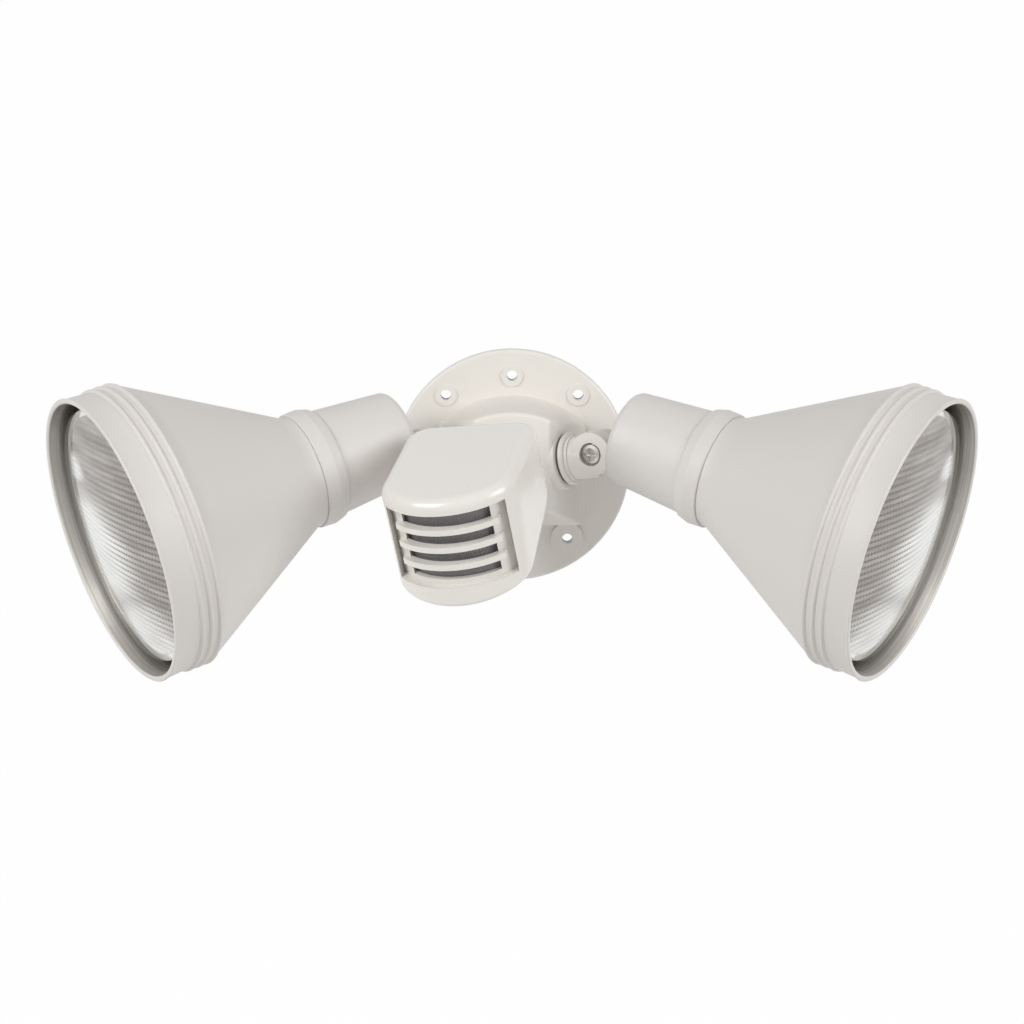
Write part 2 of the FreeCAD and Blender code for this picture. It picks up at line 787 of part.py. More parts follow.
# ----------------------------------------------------------------------------------------------------
# Arms with a knuckle
# ----------------------------------------------------------------------------------------------------
def knuckle_arm(name, label, spot, wall, m):
    """Nipple, shoulder, body and half lug. The lug is on the side away from wall (+1 or -1 along Y)."""
    start = -(m["nipple"] - m["stack"])
    nipple = cylinder(name + "Nipple", m["thread"] / 2, m["stack"] - start, place(HOME, start, 0, 0, "x"))
    shoulder = cylinder(name + "Shoulder", m["shoulder"] / 2, d.shoulder_height,
                        place(HOME, m["stack"], 0, 0, "x"))
    stem = cylinder(name + "Stem", m["body"] / 2, m["reach"] - m["stack"], place(HOME, m["stack"], 0, 0, "x"))
    outward = "-y" if wall > 0 else "y"
    face = -wall * d.lug_gap / 2
    lug = cylinder(name + "Lug", m["lug"] / 2, m["lug_thickness"] - d.lug_gap / 2,
                   place(HOME, m["reach"], face, m["rise"], outward))
    form = fuse(name + "Form", [nipple, shoulder, stem, lug])
    sweep = cylinder(name + "Sweep", m["other_lug"] / 2 + m["sweep_gap"], m["body"],
                     place(HOME, m["reach"], face, m["rise"], "y" if wall > 0 else "-y"))
    bore = cylinder(name + "Bore", m["wire"] / 2, m["reach"] - start - m["screw"],
                    place(HOME, start - 1, 0, 0, "x"))
    hole = cylinder(name + "ScrewHole", m["screw"] / 2 + d.screw_clearance, m["lug_thickness"] * 2,
                    place(HOME, m["reach"], -face * 4, m["rise"], outward))
    recess = cylinder(name + "Recess", m["recess"] / 2, m["recess_depth"] + 1,
                      place(HOME, m["reach"], -wall * (m["lug_thickness"] - m["recess_depth"]),
                            m["rise"], outward))
    arm = cut(name, form, fuse(name + "Cuts", [sweep, bore, hole, recess]))
    return node(arm, label, spot)


def lamp_arm_sizes():
    return {
        "nipple": d.nipple_length, "thread": d.port_bore - d.thread_clearance * 2,
        "stack": d.port_boss_height + d.seal_thickness + d.locknut_thickness,
        "shoulder": d.shoulder_diameter, "body": d.arm_diameter, "reach": d.arm_reach,
        "rise": d.knuckle_rise, "lug": d.arm_lug_diameter, "lug_thickness": d.arm_lug_thickness,
        "other_lug": d.holder_lug_diameter, "sweep_gap": d.lug_sweep_gap,
        "wire": d.wire_bore, "screw": d.knuckle_screw_diameter,
        "recess": d.screw_recess_diameter, "recess_depth": d.screw_recess_depth,
    }


def sensor_arm_sizes():
    return {
        "nipple": d.sensor_nipple_length, "thread": d.sensor_bore - d.thread_clearance * 2,
        "stack": d.sensor_boss_height + d.seal_thickness + d.sensor_locknut_thickness,
        "shoulder": d.sensor_shoulder_diameter, "body": d.sensor_arm_diameter,
        "reach": d.sensor_arm_reach, "rise": as_size(0), "lug": d.sensor_lug_diameter,
        "lug_thickness": d.sensor_lug_thickness, "other_lug": d.sensor_lug_diameter,
        "sweep_gap": d.sensor_sweep_gap,
        "wire": d.sensor_wire_bore, "screw": d.sensor_screw_diameter,
        "recess": d.sensor_screw_head_diameter + 1.4, "recess_depth": as_size(1.2),
    }


def make_knuckle_screw(name, side_name, side):
    """Clamp screw with a crossed recess, its head sunk in the arm's lug."""
    washer_face = d.arm_lug_thickness - d.screw_recess_depth
    seat = washer_face + d.knuckle_washer_thickness
    tip = -(d.holder_lug_thickness - 0.6)
    body = turned(name, [
        (tip, 0), (seat + d.screw_head_height, 0),
        (seat + d.screw_head_height, d.screw_head_diameter / 2 - 1.4),
        (seat + d.screw_head_height - 1, d.screw_head_diameter / 2),
        (seat, d.screw_head_diameter / 2), (seat, d.knuckle_screw_diameter / 2),
        (tip, d.knuckle_screw_diameter / 2)])
    half = d.slot_width / 2
    reach = d.screw_head_diameter / 2 - 1.6
    top = seat + d.screw_head_height
    for turn, role in (("A", "XY_Plane"), ("B", "XZ_Plane")):
        slot = outline(body, name + "Slot" + turn, role, [
            (top - d.slot_depth, -half), (top + 1, -half), (top + 1, half), (top - d.slot_depth, half)])
        pocket(body, slot, reach * 2, symmetric=True)
    spot = knuckle_screw_frame(side)
    node(body, "knuckle_screw_" + side_name, spot)
    ring(name + "Washer", "knuckle_washer_" + side_name, washer_face, d.knuckle_washer_thickness,
         d.screw_head_diameter / 2 + 0.3, d.knuckle_screw_diameter / 2 + 0.15, spot, bevel=0.15)


def knuckle_screw_frame(side):
    """Frame on a lamp's knuckle axis, X towards the screw's head."""
    port = port_frame(side)
    pivot = port.multVec(V(d.arm_reach.value, 0, d.knuckle_rise.value))
    outward = port.Rotation.multVec(V(0, -side, 0))
    return frame(pivot, outward, V(0, 0, 1))


# ----------------------------------------------------------------------------------------------------
# Lamp heads, in the lamp's frame: X along the axis, the knuckle below the origin
# ----------------------------------------------------------------------------------------------------
def holder_front():
    """Distance of the holder's visible front edge from the knuckle."""
    return d.holder_rear + d.holder_length


def make_lamp_holder(side_name, side):
    """Cast socket housing: turned cup, with the knuckle lug on the wall's side of its rear."""
    name = "Holder" + side_name
    rear = d.holder_rear
    front = holder_front()
    end = front + d.spigot_length
    back_in = d.holder_rear_diameter / 2 - d.holder_wall
    cup = turned(name + "Cup", [
        (rear, 0), (rear, d.holder_rear_diameter / 2 - d.holder_rear_round, d.holder_rear_round * -1),
        (rear + d.holder_rear_round, d.holder_rear_diameter / 2),
        (front, d.holder_front_diameter / 2), (front, d.spigot_diameter / 2),
        (end, d.spigot_diameter / 2), (end, d.spigot_diameter / 2 - d.holder_wall),
        (rear + d.holder_wall, back_in), (rear + d.holder_wall, 0)])
    wall = side
    face = wall * d.lug_gap / 2
    lug = cylinder(name + "Lug", d.holder_lug_diameter / 2, d.holder_lug_thickness - d.lug_gap / 2,
                   place(HOME, 0, face, -d.axis_rise, "y" if wall > 0 else "-y"))
    width = d.holder_lug_thickness - d.lug_gap / 2
    low = face if wall > 0 else face - width
    web = box(name + "Web", (0, low, -(d.axis_rise + d.holder_web_drop)),
              (rear + d.holder_wall / 2, width, d.holder_web_drop + d.holder_web_rise))
    bosses = insulator_posts(name)
    form = fuse(name + "Form", [cup, lug, web] + bosses)
    bore = cylinder(name + "Thread", d.knuckle_screw_diameter / 2 + d.screw_clearance,
                    d.holder_lug_thickness * 2,
                    place(HOME, 0, -face * 4, -d.axis_rise, "y" if wall > 0 else "-y"))
    wire = cylinder(name + "WireHole", d.wire_hole / 2, d.holder_wall * 3,
                    place(HOME, rear - d.holder_wall, wall * 13, 0, "x"))
    holder = cut(name, form, fuse(name + "Cuts", [bore, wire]))
    return node(holder, "lamp_holder_" + side_name.lower(), lamp_frame(side))


def insulator_seat():
    """Distance of the insulator's floor from the knuckle: it stands on two posts in the holder."""
    return socket_floor() - d.insulator_floor


def insulator_posts(name):
    """Two posts inside the holder that carry the lamp socket."""
    start = d.holder_rear + d.holder_wall / 2
    height = insulator_seat() - start
    posts = []
    for i, z in enumerate((-1, 1)):
        spot = place(HOME, start, 0, d.bulb_base_diameter / 2 * z * 0.8, "x")
        posts.append(cylinder("%sPost%d" % (name, i), as_size(2.6), height, spot))
    return posts


def base_tip():
    """Distance of the bulb's end contact from the knuckle."""
    return d.rim_distance - d.bulb_recess - d.bulb_length


def socket_floor():
    """Distance of the insulator's inner floor from the knuckle."""
    return base_tip() - d.contact_rise - d.contact_thickness


def band_ridges(outer):
    """Profile corners of the raised ridges behind the lip, from front to back."""
    front = d.rim_distance - d.lip_length
    pitch = (d.band_length - d.lip_length) / d.ridge_count
    crest = pitch * 0.56
    radius = (crest * crest / 4 + d.ridge_height * d.ridge_height) / (d.ridge_height * 2)
    corners = []
    for i in range(DIMENSIONS["ridge_count"]):
        corners.append((front - pitch * i, outer))
        corners.append((front - pitch * i - (pitch - crest), outer, radius))
    return corners


def make_shade(side_name, side):
    """Spun shade: rolled rim, plain lip, ridged band, cone and neck."""
    rim = d.rim_distance
    outer = d.rim_diameter / 2 - d.ridge_height
    back = rim - d.band_length
    neck = back - d.cone_length
    wall = d.shade_wall
    neck_out = d.neck_diameter / 2
    corners = [
        (neck - d.neck_lip, neck_out - wall), (neck, neck_out - wall),
        (back, outer - wall), (rim - d.rim_roll, outer - wall), (rim, outer - wall + d.rim_roll),
        (rim, outer + d.ridge_height - d.rim_roll), (rim - d.rim_roll, outer + d.ridge_height),
        (rim - d.rim_roll * 4, outer + d.ridge_height * 0.5)]
    corners += band_ridges(outer + d.ridge_height * 0.0)
    corners += [(back, outer), (neck, neck_out), (neck - d.neck_lip, neck_out)]
    body = turned("Shade" + side_name, corners)
    return node(body, "shade_" + side_name.lower(), lamp_frame(side))


def make_collar(side_name, side):
    """Ring that closes the step between the shade's neck and the holder."""
    start = holder_front() + 0.1
    end = d.rim_distance - d.band_length - d.cone_length - d.neck_lip - 0.1
    outer = d.collar_diameter / 2
    inner = d.spigot_diameter / 2 + d.collar_fit
    body = turned("Collar" + side_name, [
        (start, inner), (end, inner), (end, outer - 0.4), (end - 0.4, outer),
        (start + (end - start) * 0.45, outer + d.collar_crown * 0.3),
        (start + 1.2, outer - d.collar_crown), (start, outer - d.collar_crown - 1)])
    return node(body, "shade_collar_" + side_name.lower(), lamp_frame(side))


def make_bulb_gasket(side_name, side):
    """Rubber ring in the spigot's mouth that seals on the bulb's neck."""
    end = holder_front() + d.spigot_length
    outer = d.spigot_diameter / 2 - d.holder_wall - 0.05
    inner = d.bulb_neck_diameter / 2 + 0.05
    body = turned("BulbGasket" + side_name, [
        (end - d.bulb_gasket_thickness, inner), (end, inner), (end, outer - 1),
        (end - 1, outer), (end - d.bulb_gasket_thickness, outer - 0.9)])
    return node(body, "bulb_gasket_" + side_name.lower(), lamp_frame(side))


def bulb_radius():
    """Radius of the bulb's rim: the inside of the shade less the gap around it."""
    return d.rim_diameter / 2 - d.ridge_height - d.shade_wall - d.bulb_clearance


def make_bulb(side_name, side):
    """Sealed flood lamp: reflector cup, front lens, screw base and inner capsule."""
    spot = lamp_frame(side)
    low = side_name.lower()
    front = d.rim_distance - d.bulb_recess
    skirt = front - d.bulb_skirt
    tip = base_tip()
    base_end = tip + d.bulb_base_length
    radius = bulb_radius()
    neck = d.bulb_neck_diameter / 2
    glass = d.bulb_glass
    neck_end = front - d.bulb_cup_length
    cup = d.bulb_cup_diameter / 2
    seat = d.bulb_base_diameter / 2 + 1
    body = turned("Reflector" + side_name, [
        (base_end + 0.05, seat - glass), (base_end + 6, neck - glass), (neck_end - 14, neck - glass),
        (neck_end, cup - glass), (skirt, radius - 3 - glass), (front - 2, radius - glass - 1),
        (front - 2, radius), (skirt + 2, radius), (skirt, radius - 3, 150),
        (neck_end, cup, 70), (neck_end - 14, neck), (base_end + 6, neck), (base_end + 0.05, seat)])
    node(body, "bulb_reflector_" + low, spot)
    lens_radius = radius - 0.4
    dome = (lens_radius * lens_radius + d.bulb_lens_dome * d.bulb_lens_dome) / (d.bulb_lens_dome * 2)
    inner = lens_radius - glass
    inner_dome = inner * inner / (dome * 2)
    back = front + d.bulb_lens_dome - d.bulb_lens_thickness
    body = turned("Lens" + side_name, [
        (back, 0, dome), (back - inner_dome, inner),
        (front - 1.9, inner), (front - 1.9, lens_radius), (front, lens_radius, -dome),
        (front + d.bulb_lens_dome, 0)])
    node(body, "bulb_lens_" + low, spot)
    body = turned("Base" + side_name, [
        (tip, 0), (base_end, 0), (base_end, d.bulb_base_diameter / 2), (tip + 7, d.bulb_base_diameter / 2),
        (tip + 3.2, 8), (tip + 1.2, 4.6), (tip, 4.4)])
    node(body, "bulb_base_" + low, spot)
    root_x = base_end + 0.05
    half = d.capsule_diameter / 2
    body = turned("Capsule" + side_name, [
        (root_x, 0), (root_x + d.capsule_length, 0, half), (root_x + d.capsule_length - half, half),
        (root_x + 14, half), (root_x + 12, seat - glass - 1), (root_x, seat - glass - 1)])
    return node(body, "bulb_capsule_" + low, spot)


def make_socket(side_name, side):
    """Insulator cup, threaded shell and centre contact."""
    spot = lamp_frame(side)
    low = side_name.lower()
    floor = socket_floor()
    shell_in = d.bulb_base_diameter / 2 + d.shell_clearance
    shell_out = shell_in + d.shell_wall
    outer = shell_out + d.insulator_wall
    top = floor + d.insulator_floor + d.shell_length
    body = turned("Insulator" + side_name, [
        (insulator_seat(), 0), (insulator_seat(), outer - 2.5), (insulator_seat() + 2.5, outer),
        (top, outer), (top, shell_out), (floor, shell_out), (floor, 0)])
    node(body, "socket_insulator_" + low, spot)
    body = turned("Shell" + side_name, [
        (floor, shell_in - 4), (floor, shell_out), (top - 1.5, shell_out), (top - 1.5, shell_in),
        (floor + d.shell_wall, shell_in), (floor + d.shell_wall, shell_in - 4)])
    node(body, "screw_shell_" + low, spot)
    half = d.contact_width / 2
    lift = d.contact_rise + d.contact_thickness
    body = new_body("Contact" + side_name)
    corners = [
        (floor, -half), (floor + d.contact_thickness, -half + 1.5), (floor + lift, -1.2),
        (floor + lift, 1.2), (floor + d.contact_thickness, half - 1.5), (floor, half)]
    sketch = outline(body, "ContactProfile" + side_name, "XZ_Plane", corners)
    pad(body, sketch, d.contact_width, symmetric=True)
    return node(body, "centre_contact_" + low, spot)


# ----------------------------------------------------------------------------------------------------
# Sensor head, in its own frame: origin on the tilt axis, front along -Y, lateral X
# ----------------------------------------------------------------------------------------------------
def head_y(forward):
    """Y of a plane that lies so far in front of the head's rear."""
    return -(d.head_setback + forward)


def head_z(down):
    """Z of a level that lies so far below the head's roof."""
    return d.head_rise - down


def half_less(side):
    """Half the head's width less a distance from its side."""
    return d.head_width / 2 - side


def front_arc_radius():
    """Radius of the roof's front arc: a little more than half the width, so it meets both sides."""
    return d.head_width / 2 + d.head_arc_surplus


def arc_centre():
    """Distance of the front arc's centre from the rear."""
    half = d.head_width / 2
    radius = front_arc_radius()
    return d.head_side - root(radius * radius - half * half)


def belly_line(lift):
    """The underside's outline corners, raised by a thickness: rear, break, front and past it."""
    slope = tangent(d.belly_angle)
    break_down = d.head_rear_height + d.belly_break * slope
    depth = arc_centre() + front_arc_radius()
    front_slope = (d.head_height - break_down) / (depth - d.belly_break)
    rear_lift = lift / cosine(d.belly_angle)
    turn = (lift - rear_lift) / (slope - front_slope)
    corner = d.belly_break - turn
    corner_down = break_down - turn * front_slope - lift
    reach = depth + 4
    front_down = d.head_height + front_slope * 4 - lift
    start = -4
    start_down = d.head_rear_height + slope * start - rear_lift
    return [(start, start_down), (corner, corner_down), (reach, front_down)]


def belly_corners(lift):
    """Corners of everything under the raised underside, in side view."""
    line = belly_line(lift)
    floor = d.head_height * 2
    corners = [(head_y(as_size(v)), head_z(q)) for v, q in line]
    return corners + [(head_y(as_size(line[2][0])), head_z(floor)), (head_y(as_size(line[0][0])), head_z(floor))]


def belly_outline(body, name, lift):
    """Sketch of everything under the raised underside."""
    return outline(body, name, "YZ_Plane", belly_corners(lift))


def below_belly(name, lift):
    """Everything under the raised underside, as a wide solid."""
    return prism(name, "YZ_Plane", belly_corners(lift), d.head_width * 1.5, symmetric=True)


def head_plan(half, rear, radius):
    """Corners of a plan with straight sides and a round front."""
    side = arc_centre() + root(radius * radius - half * half)
    return [(-half, head_y(side), radius), (half, head_y(side)), (half, head_y(rear)), (-half, head_y(rear))]


def front_sector(name, inner, outer, half, top, bottom):
    """A curved band round the front arc's centre, between two radii and two levels."""
    centre = head_y(arc_centre())
    height = bottom - top
    low = head_z(bottom)
    big = cylinder(name + "Outer", outer, height, place(HOME, 0, centre, low))
    small = cylinder(name + "Inner", inner, height * 3, place(HOME, 0, centre, low - height))
    reach = front_arc_radius() * 2
    limit = box(name + "Limit", (-half, centre - reach, low), (half * 2, reach, height))
    return common(name, [cut(name + "Ring", big, small), limit])


def bar_levels():
    """Levels of the bars' upper edges below the roof: evenly spread over the window."""
    count = DIMENSIONS["bar_count"]
    clear = (d.window_bottom - d.window_top - d.bar_height * count) / (count + 1)
    return [d.window_top + clear * (i + 1) + d.bar_height * i for i in range(count)]


def make_sensor_shell():
    """Front shell: roof, sides, chin, recessed front wall with its window and bars."""
    body = new_body("ShellOuter")
    radius = front_arc_radius()
    plan = outline(body, "ShellPlan", "XY_Plane", head_plan(d.head_width / 2, as_size(0), radius),
                   head_z(d.head_height))
    pad(body, plan, d.head_height)
    pocket(body, belly_outline(body, "ShellBelly", as_size(0)), d.head_width * 2, symmetric=True)
    rear = head_y(as_size(0)).value
    roof = head_z(as_size(0)).value
    nose = head_y(arc_centre()).value
    half = d.head_width / 2
    cheek = head_y(arc_centre() + root(radius * radius - half * half)).value
    fillet(body, "ShellCorners", d.head_corner_round,
           lambda e: abs(e.CenterOfMass.y - rear) < 1e-6 and e.BoundBox.ZLength > 10)
    fillet(body, "ShellFrontCorners", d.head_front_round,
           lambda e: abs(e.CenterOfMass.y - cheek) < 1e-6 and e.BoundBox.ZLength > 10)
    fillet(body, "ShellRoofEdge", d.head_top_round, lambda e: abs(e.BoundBox.ZMin - roof) < 1e-6)
    fillet(body, "ShellFoot", d.head_foot_round,
           lambda e: e.BoundBox.YMin < nose and e.BoundBox.ZMax < roof - 30)
    wall_radius = radius - d.recess_depth
    recess = front_sector("Recess", wall_radius, radius * 1.4, d.head_width / 2 - d.recess_margin,
                          d.roof_lip, d.head_height - d.chin_lip)
    inner_radius = wall_radius - d.head_wall
    inner = inner_outline("ShellCore", inner_radius, as_size(0))
    window = front_sector("Window", inner_radius - 2, radius, half_less(d.window_side),
                          d.window_top, d.window_bottom)
    shell = cut("ShellOpen", body, fuse("ShellCuts", [recess, inner, window]))
    bars = []
    for i, top in enumerate(bar_levels()):
        bars.append(front_sector("Bar%d" % i, wall_radius - 1, wall_radius + d.bar_proud,
                                 half_less(d.bar_side), top, top + d.bar_height))
    form = fuse("ShellForm", [shell] + bars + cover_posts())
    shell = cut("SensorShell", form, fuse("ShellPilots", cover_holes("Pilot", d.cover_screw_diameter / 2)))
    return node(shell, "sensor_shell", head_frame())


def inner_outline(name, radius, clearance):
    """The head's inside as a solid: the shell's walls less a clearance."""
    half = d.head_width / 2 - d.head_wall - clearance
    body = new_body(name)
    plan = outline(body, name + "Plan", "XY_Plane",
                   head_plan(half, d.head_wall + clearance, radius - clearance),
                   head_z(d.head_height + 1))
    pad(body, plan, d.head_height + 1 - d.head_roof)
    rear = head_y(d.head_wall + clearance).value
    fillet(body, name + "Corners", d.head_corner_round - d.head_wall - clearance,
           lambda e: abs(e.CenterOfMass.y - rear) < 1e-6 and e.BoundBox.ZLength > 10)
    return body


def cover_screw_places():
    """Screw places (x, forward): a pair under each slope of the underside."""
    half = d.cover_screw_spread / 2
    rear = d.cover_screw_inset
    front = d.cover_screw_inset + d.cover_screw_pitch
    return [(half * s, forward) for forward in (rear, front) for s in (-1, 1)]


def cover_posts():
    """Posts in the shell that take the cover's screws."""
    posts = []
    for i, (x, forward) in enumerate(cover_screw_places()):
        post = cylinder("CoverPost%d" % i, d.cover_post_diameter / 2, d.head_height - d.head_roof / 2,
                        place(HOME, x, head_y(forward), head_z(d.head_height)))
        trimmed = cut("CoverPostFoot%d" % i, post, below_belly("PostBelly%d" % i, d.cover_thickness + 0.1))
        posts.append(trimmed)
    return posts


def cover_holes(name, radius):
    """Bores for the cover's screws, square to the underside, with the thread's clearance."""
    holes = []
    for i, (x, forward) in enumerate(cover_screw_places()):
        depth = d.cover_screw_length + 0.5
        spot = belly_frame(forward, as_size(0)).multiply(
            FreeCAD.Placement(V(x.value, 0, -depth.value), FreeCAD.Rotation()))
        holes.append(cylinder("%s%d" % (name, i), radius + d.thread_clearance, depth * 2, spot))
    return holes


def belly_frame(forward, lift):
    """Frame on the underside: Z points out of the head, square to the slope there."""
    front = forward.value > d.belly_break.value
    line = belly_line(lift)
    (v0, q0), (v1, q1) = (line[1], line[2]) if front else (line[0], line[1])
    v0, q0, v1, q1 = [as_size(number).value for number in (v0, q0, v1, q1)]
    share = (forward.value - v0) / (v1 - v0)
    spot = V(0, head_y(forward).value, head_z(as_size(q0 + (q1 - q0) * share)).value)
    slope = math.atan2(q1 - q0, v1 - v0)
    outward = V(0, math.sin(slope), -math.cos(slope))
    return frame(spot, V(1, 0, 0), outward) if outward.z > 0 else belly_down(spot, outward)


def belly_down(spot, outward):
    """Frame with Z along a downward direction and X lateral."""
    x = V(1, 0, 0)
    y = outward.cross(x)
    return FreeCAD.Placement(spot, FreeCAD.Rotation(x, y, outward, "ZXY"))


def make_sensor_back():
    """Underside cover: follows both slopes, with the holes for screws, knobs and photocell."""
    inner_radius = front_arc_radius() - d.recess_depth - d.head_wall
    slab = cut("CoverSlab", below_belly("CoverUpper", d.cover_thickness), below_belly("CoverLower", as_size(0)))
    plate = common("CoverPlate", [slab, inner_outline("CoverPlan", inner_radius, d.cover_fit)])
    holes = cover_holes("CoverHole", d.cover_screw_diameter / 2 + 0.1)
    for i, sign in enumerate((-1, 1)):
        spot = knob_frame(sign).multiply(FreeCAD.Placement(V(0, 0, -6), FreeCAD.Rotation()))
        holes.append(cylinder("KnobHole%d" % i, d.knob_stem_diameter / 2 + 0.06, as_size(12), spot))
    spot = photocell_frame().multiply(FreeCAD.Placement(V(0, 0, -6), FreeCAD.Rotation()))
    holes.append(cylinder("PhotocellHole", d.photocell_diameter / 2 + 0.05, as_size(12), spot))
    spot = stalk_frame().multiply(FreeCAD.Placement(V(0, 0, -6), FreeCAD.Rotation()))
    holes.append(cylinder("StalkWireHole", d.sensor_wire_bore / 2, as_size(12), spot))
    return node(cut("SensorBack", plate, fuse("CoverHoles", holes)), "sensor_back", head_frame())


def stalk_reach():
    """Distance from the tilt axis to the underside's rear slope, square to that slope."""
    down = d.head_rise - d.head_rear_height
    return down * cosine(d.belly_angle) + d.head_setback * sine(d.belly_angle)


def stalk_frame():
    """Frame where the stalk meets the underside: Z from the head down the stalk."""
    along = V(0, math.sin(math.radians(d.belly_angle.value)), -math.cos(math.radians(d.belly_angle.value)))
    return belly_down(along * -stalk_reach().value, along)


def make_sensor_stalk():
    """Neck between the knuckle and the underside: flange, tapered neck, web and half lug."""
    spot = stalk_frame()
    reach = stalk_reach()
    flange = cylinder("StalkFlange", d.stalk_flange_diameter / 2, d.stalk_flange_height - 0.2,
                      place(spot, 0, 0, 0.2))
    clear = d.sensor_lug_diameter / 2 + d.sensor_sweep_gap
    neck = cone("StalkNeck", d.stalk_foot_diameter / 2, d.stalk_diameter / 2, reach - clear - 1,
                place(spot, 0, 0, 1))
    thick = d.sensor_lug_thickness - d.lug_gap / 2
    near = d.lug_gap / 2 - d.head_offset
    lug = cylinder("StalkLug", d.sensor_lug_diameter / 2, thick, place(HOME, near, 0, 0, "x"))
    half = d.stalk_diameter / 2 - 0.5
    web = prism("StalkWeb", "XY_Plane", [(near, -half), (near + thick, -half), (near + thick, half),
                                         (near, half)], clear + 3)
    web.Placement = place(spot, 0, 0, reach - clear - 3)
    form = fuse("StalkForm", [flange, neck, lug, web])
    hole = cylinder("StalkScrewHole", d.sensor_screw_diameter / 2 + d.screw_clearance, thick * 4,
                    place(HOME, near - thick, 0, 0, "x"))
    nut = cylinder("StalkNutRecess", d.sensor_nut_diameter / 2 + 0.3, d.sensor_nut_height,
                   place(HOME, near + thick - d.sensor_nut_sink, 0, 0, "x"))
    bore = cylinder("StalkBore", d.sensor_wire_bore / 2 - 1, reach * 0.6, place(spot, 0, 0, -1))
    return node(cut("SensorStalk", form, fuse("StalkCuts", [hole, nut, bore])), "sensor_stalk", head_frame())


def make_sensor_screw():
    """Knuckle screw of the sensor arm and its nut, on the tilt axis."""
    seat = -(d.sensor_lug_thickness - 1.2)
    nut_seat = d.sensor_lug_thickness - d.sensor_nut_sink
    tip = nut_seat + d.sensor_nut_height
    head = seat - d.sensor_screw_head_height
    body = turned("SensorScrew", [
        (head, 0), (tip, 0), (tip, d.sensor_screw_diameter / 2), (seat, d.sensor_screw_diameter / 2),
        (seat, d.sensor_screw_head_diameter / 2), (head + 0.8, d.sensor_screw_head_diameter / 2),
        (head, d.sensor_screw_head_diameter / 2 - 0.8)])
    half = d.slot_width / 2
    slot = outline(body, "SensorScrewSlot", "XY_Plane", [
        (head - 1, -half), (head + d.slot_depth, -half), (head + d.slot_depth, half), (head - 1, half)])
    pocket(body, slot, d.sensor_screw_head_diameter * 2, symmetric=True)
    node(body, "sensor_knuckle_screw", sensor_knuckle_frame())
    body = new_body("SensorNut")
    outer = d.sensor_nut_diameter / 2
    slant = outer * 0.866
    sketch = outline(body, "NutHexagon", "YZ_Plane", [
        (outer, 0), (outer / 2, slant), (-outer / 2, slant), (-outer, 0), (-outer / 2, -slant),
        (outer / 2, -slant)], nut_seat)
    pad(body, sketch, d.sensor_nut_height - 0.3)
    hole = circle(body, "NutHole", "YZ_Plane", 0, 0, d.sensor_screw_diameter / 2, nut_seat)
    pocket(body, hole, d.sensor_nut_height, backwards=True)
    return node(body, "sensor_knuckle_nut", sensor_knuckle_frame())


def make_lens_parts():
    """Fresnel lens behind the window, and the frame that holds it."""
    outer = front_arc_radius() - d.recess_depth - d.head_wall - d.lens_gap
    top = d.window_top - d.lens_margin
    bottom = d.window_bottom + d.lens_margin
    lens = front_sector("FresnelLens", outer - d.lens_thickness, outer, half_less(d.lens_side), top, bottom)
    node(lens, "fresnel_lens", head_frame())
    behind = outer - d.lens_thickness - 0.1
    full = front_sector("RetainerFull", behind - d.retainer_thickness, behind,
                        half_less(d.lens_side), top, bottom)
    hole = front_sector("RetainerHole", behind - d.retainer_thickness * 2, behind + 1,
                        half_less(d.window_side), d.window_top, d.window_bottom)
    return node(cut("LensRetainer", full, hole), "lens_retainer", head_frame())


def make_boards():
    """Detector board and what stands on it."""
    spot = head_frame()
    half = d.head_width / 2 - d.head_wall - 0.3
    face = head_y(d.board_depth)
    top = head_z(d.board_top)
    board = box("SensorBoard", (-half, face, top - d.board_height), (half * 2, d.board_thickness, d.board_height))
    node(board, "sensor_board", spot.multiply(board.Placement))
    level = head_z(d.detector_level)
    body = turned("PirSensor", [
        (0, 0), (d.detector_height, 0), (d.detector_height, d.detector_diameter / 2 - 0.4),
        (d.detector_height - 0.4, d.detector_diameter / 2 - 0.3), (0.8, d.detector_diameter / 2 - 0.3),
        (0.8, d.detector_diameter / 2 + 0.3), (0, d.detector_diameter / 2 + 0.3)])
    node(body, "pir_sensor", spot.multiply(frame(V(0, face.value, level.value), V(0, -1, 0), V(0, 0, 1))))
    back = face + d.board_thickness
    relay = box("Relay", (-d.relay_offset - d.relay_length, back, top - 3 - d.relay_height),
                (d.relay_length, d.relay_width, d.relay_height))
    node(relay, "relay", spot.multiply(relay.Placement))
    film = box("FilmCapacitor", (d.capacitor_offset, back, top - 3 - d.capacitor_height),
               (d.capacitor_length, d.capacitor_width, d.capacitor_height))
    node(film, "film_capacitor", spot.multiply(film.Placement))
    drop = top - d.board_height + d.resistor_diameter / 2 + 2
    body = turned("PowerResistor", [
        (0, 0), (d.resistor_length, 0), (d.resistor_length, d.resistor_diameter / 2 - 0.5),
        (d.resistor_length - 1.5, d.resistor_diameter / 2), (1.5, d.resistor_diameter / 2),
        (0, d.resistor_diameter / 2 - 0.5)])
    lift = (back + d.resistor_diameter / 2 + 0.3).value
    node(body, "power_resistor", spot.multiply(frame(V(4, lift, drop.value), V(1, 0, 0), V(0, 0, 1))))
    body = turned("TestLamp", [
        (0, 0), (d.indicator_length, 0, d.indicator_diameter / 2),
        (d.indicator_length - d.indicator_diameter / 2, d.indicator_diameter / 2),
        (1, d.indicator_diameter / 2), (1, d.indicator_diameter / 2 + 0.4), (0, d.indicator_diameter / 2 + 0.4)])
    return node(body, "test_lamp", spot.multiply(frame(V(-12, face.value, level.value), V(0, -1, 0), V(0, 0, 1))))


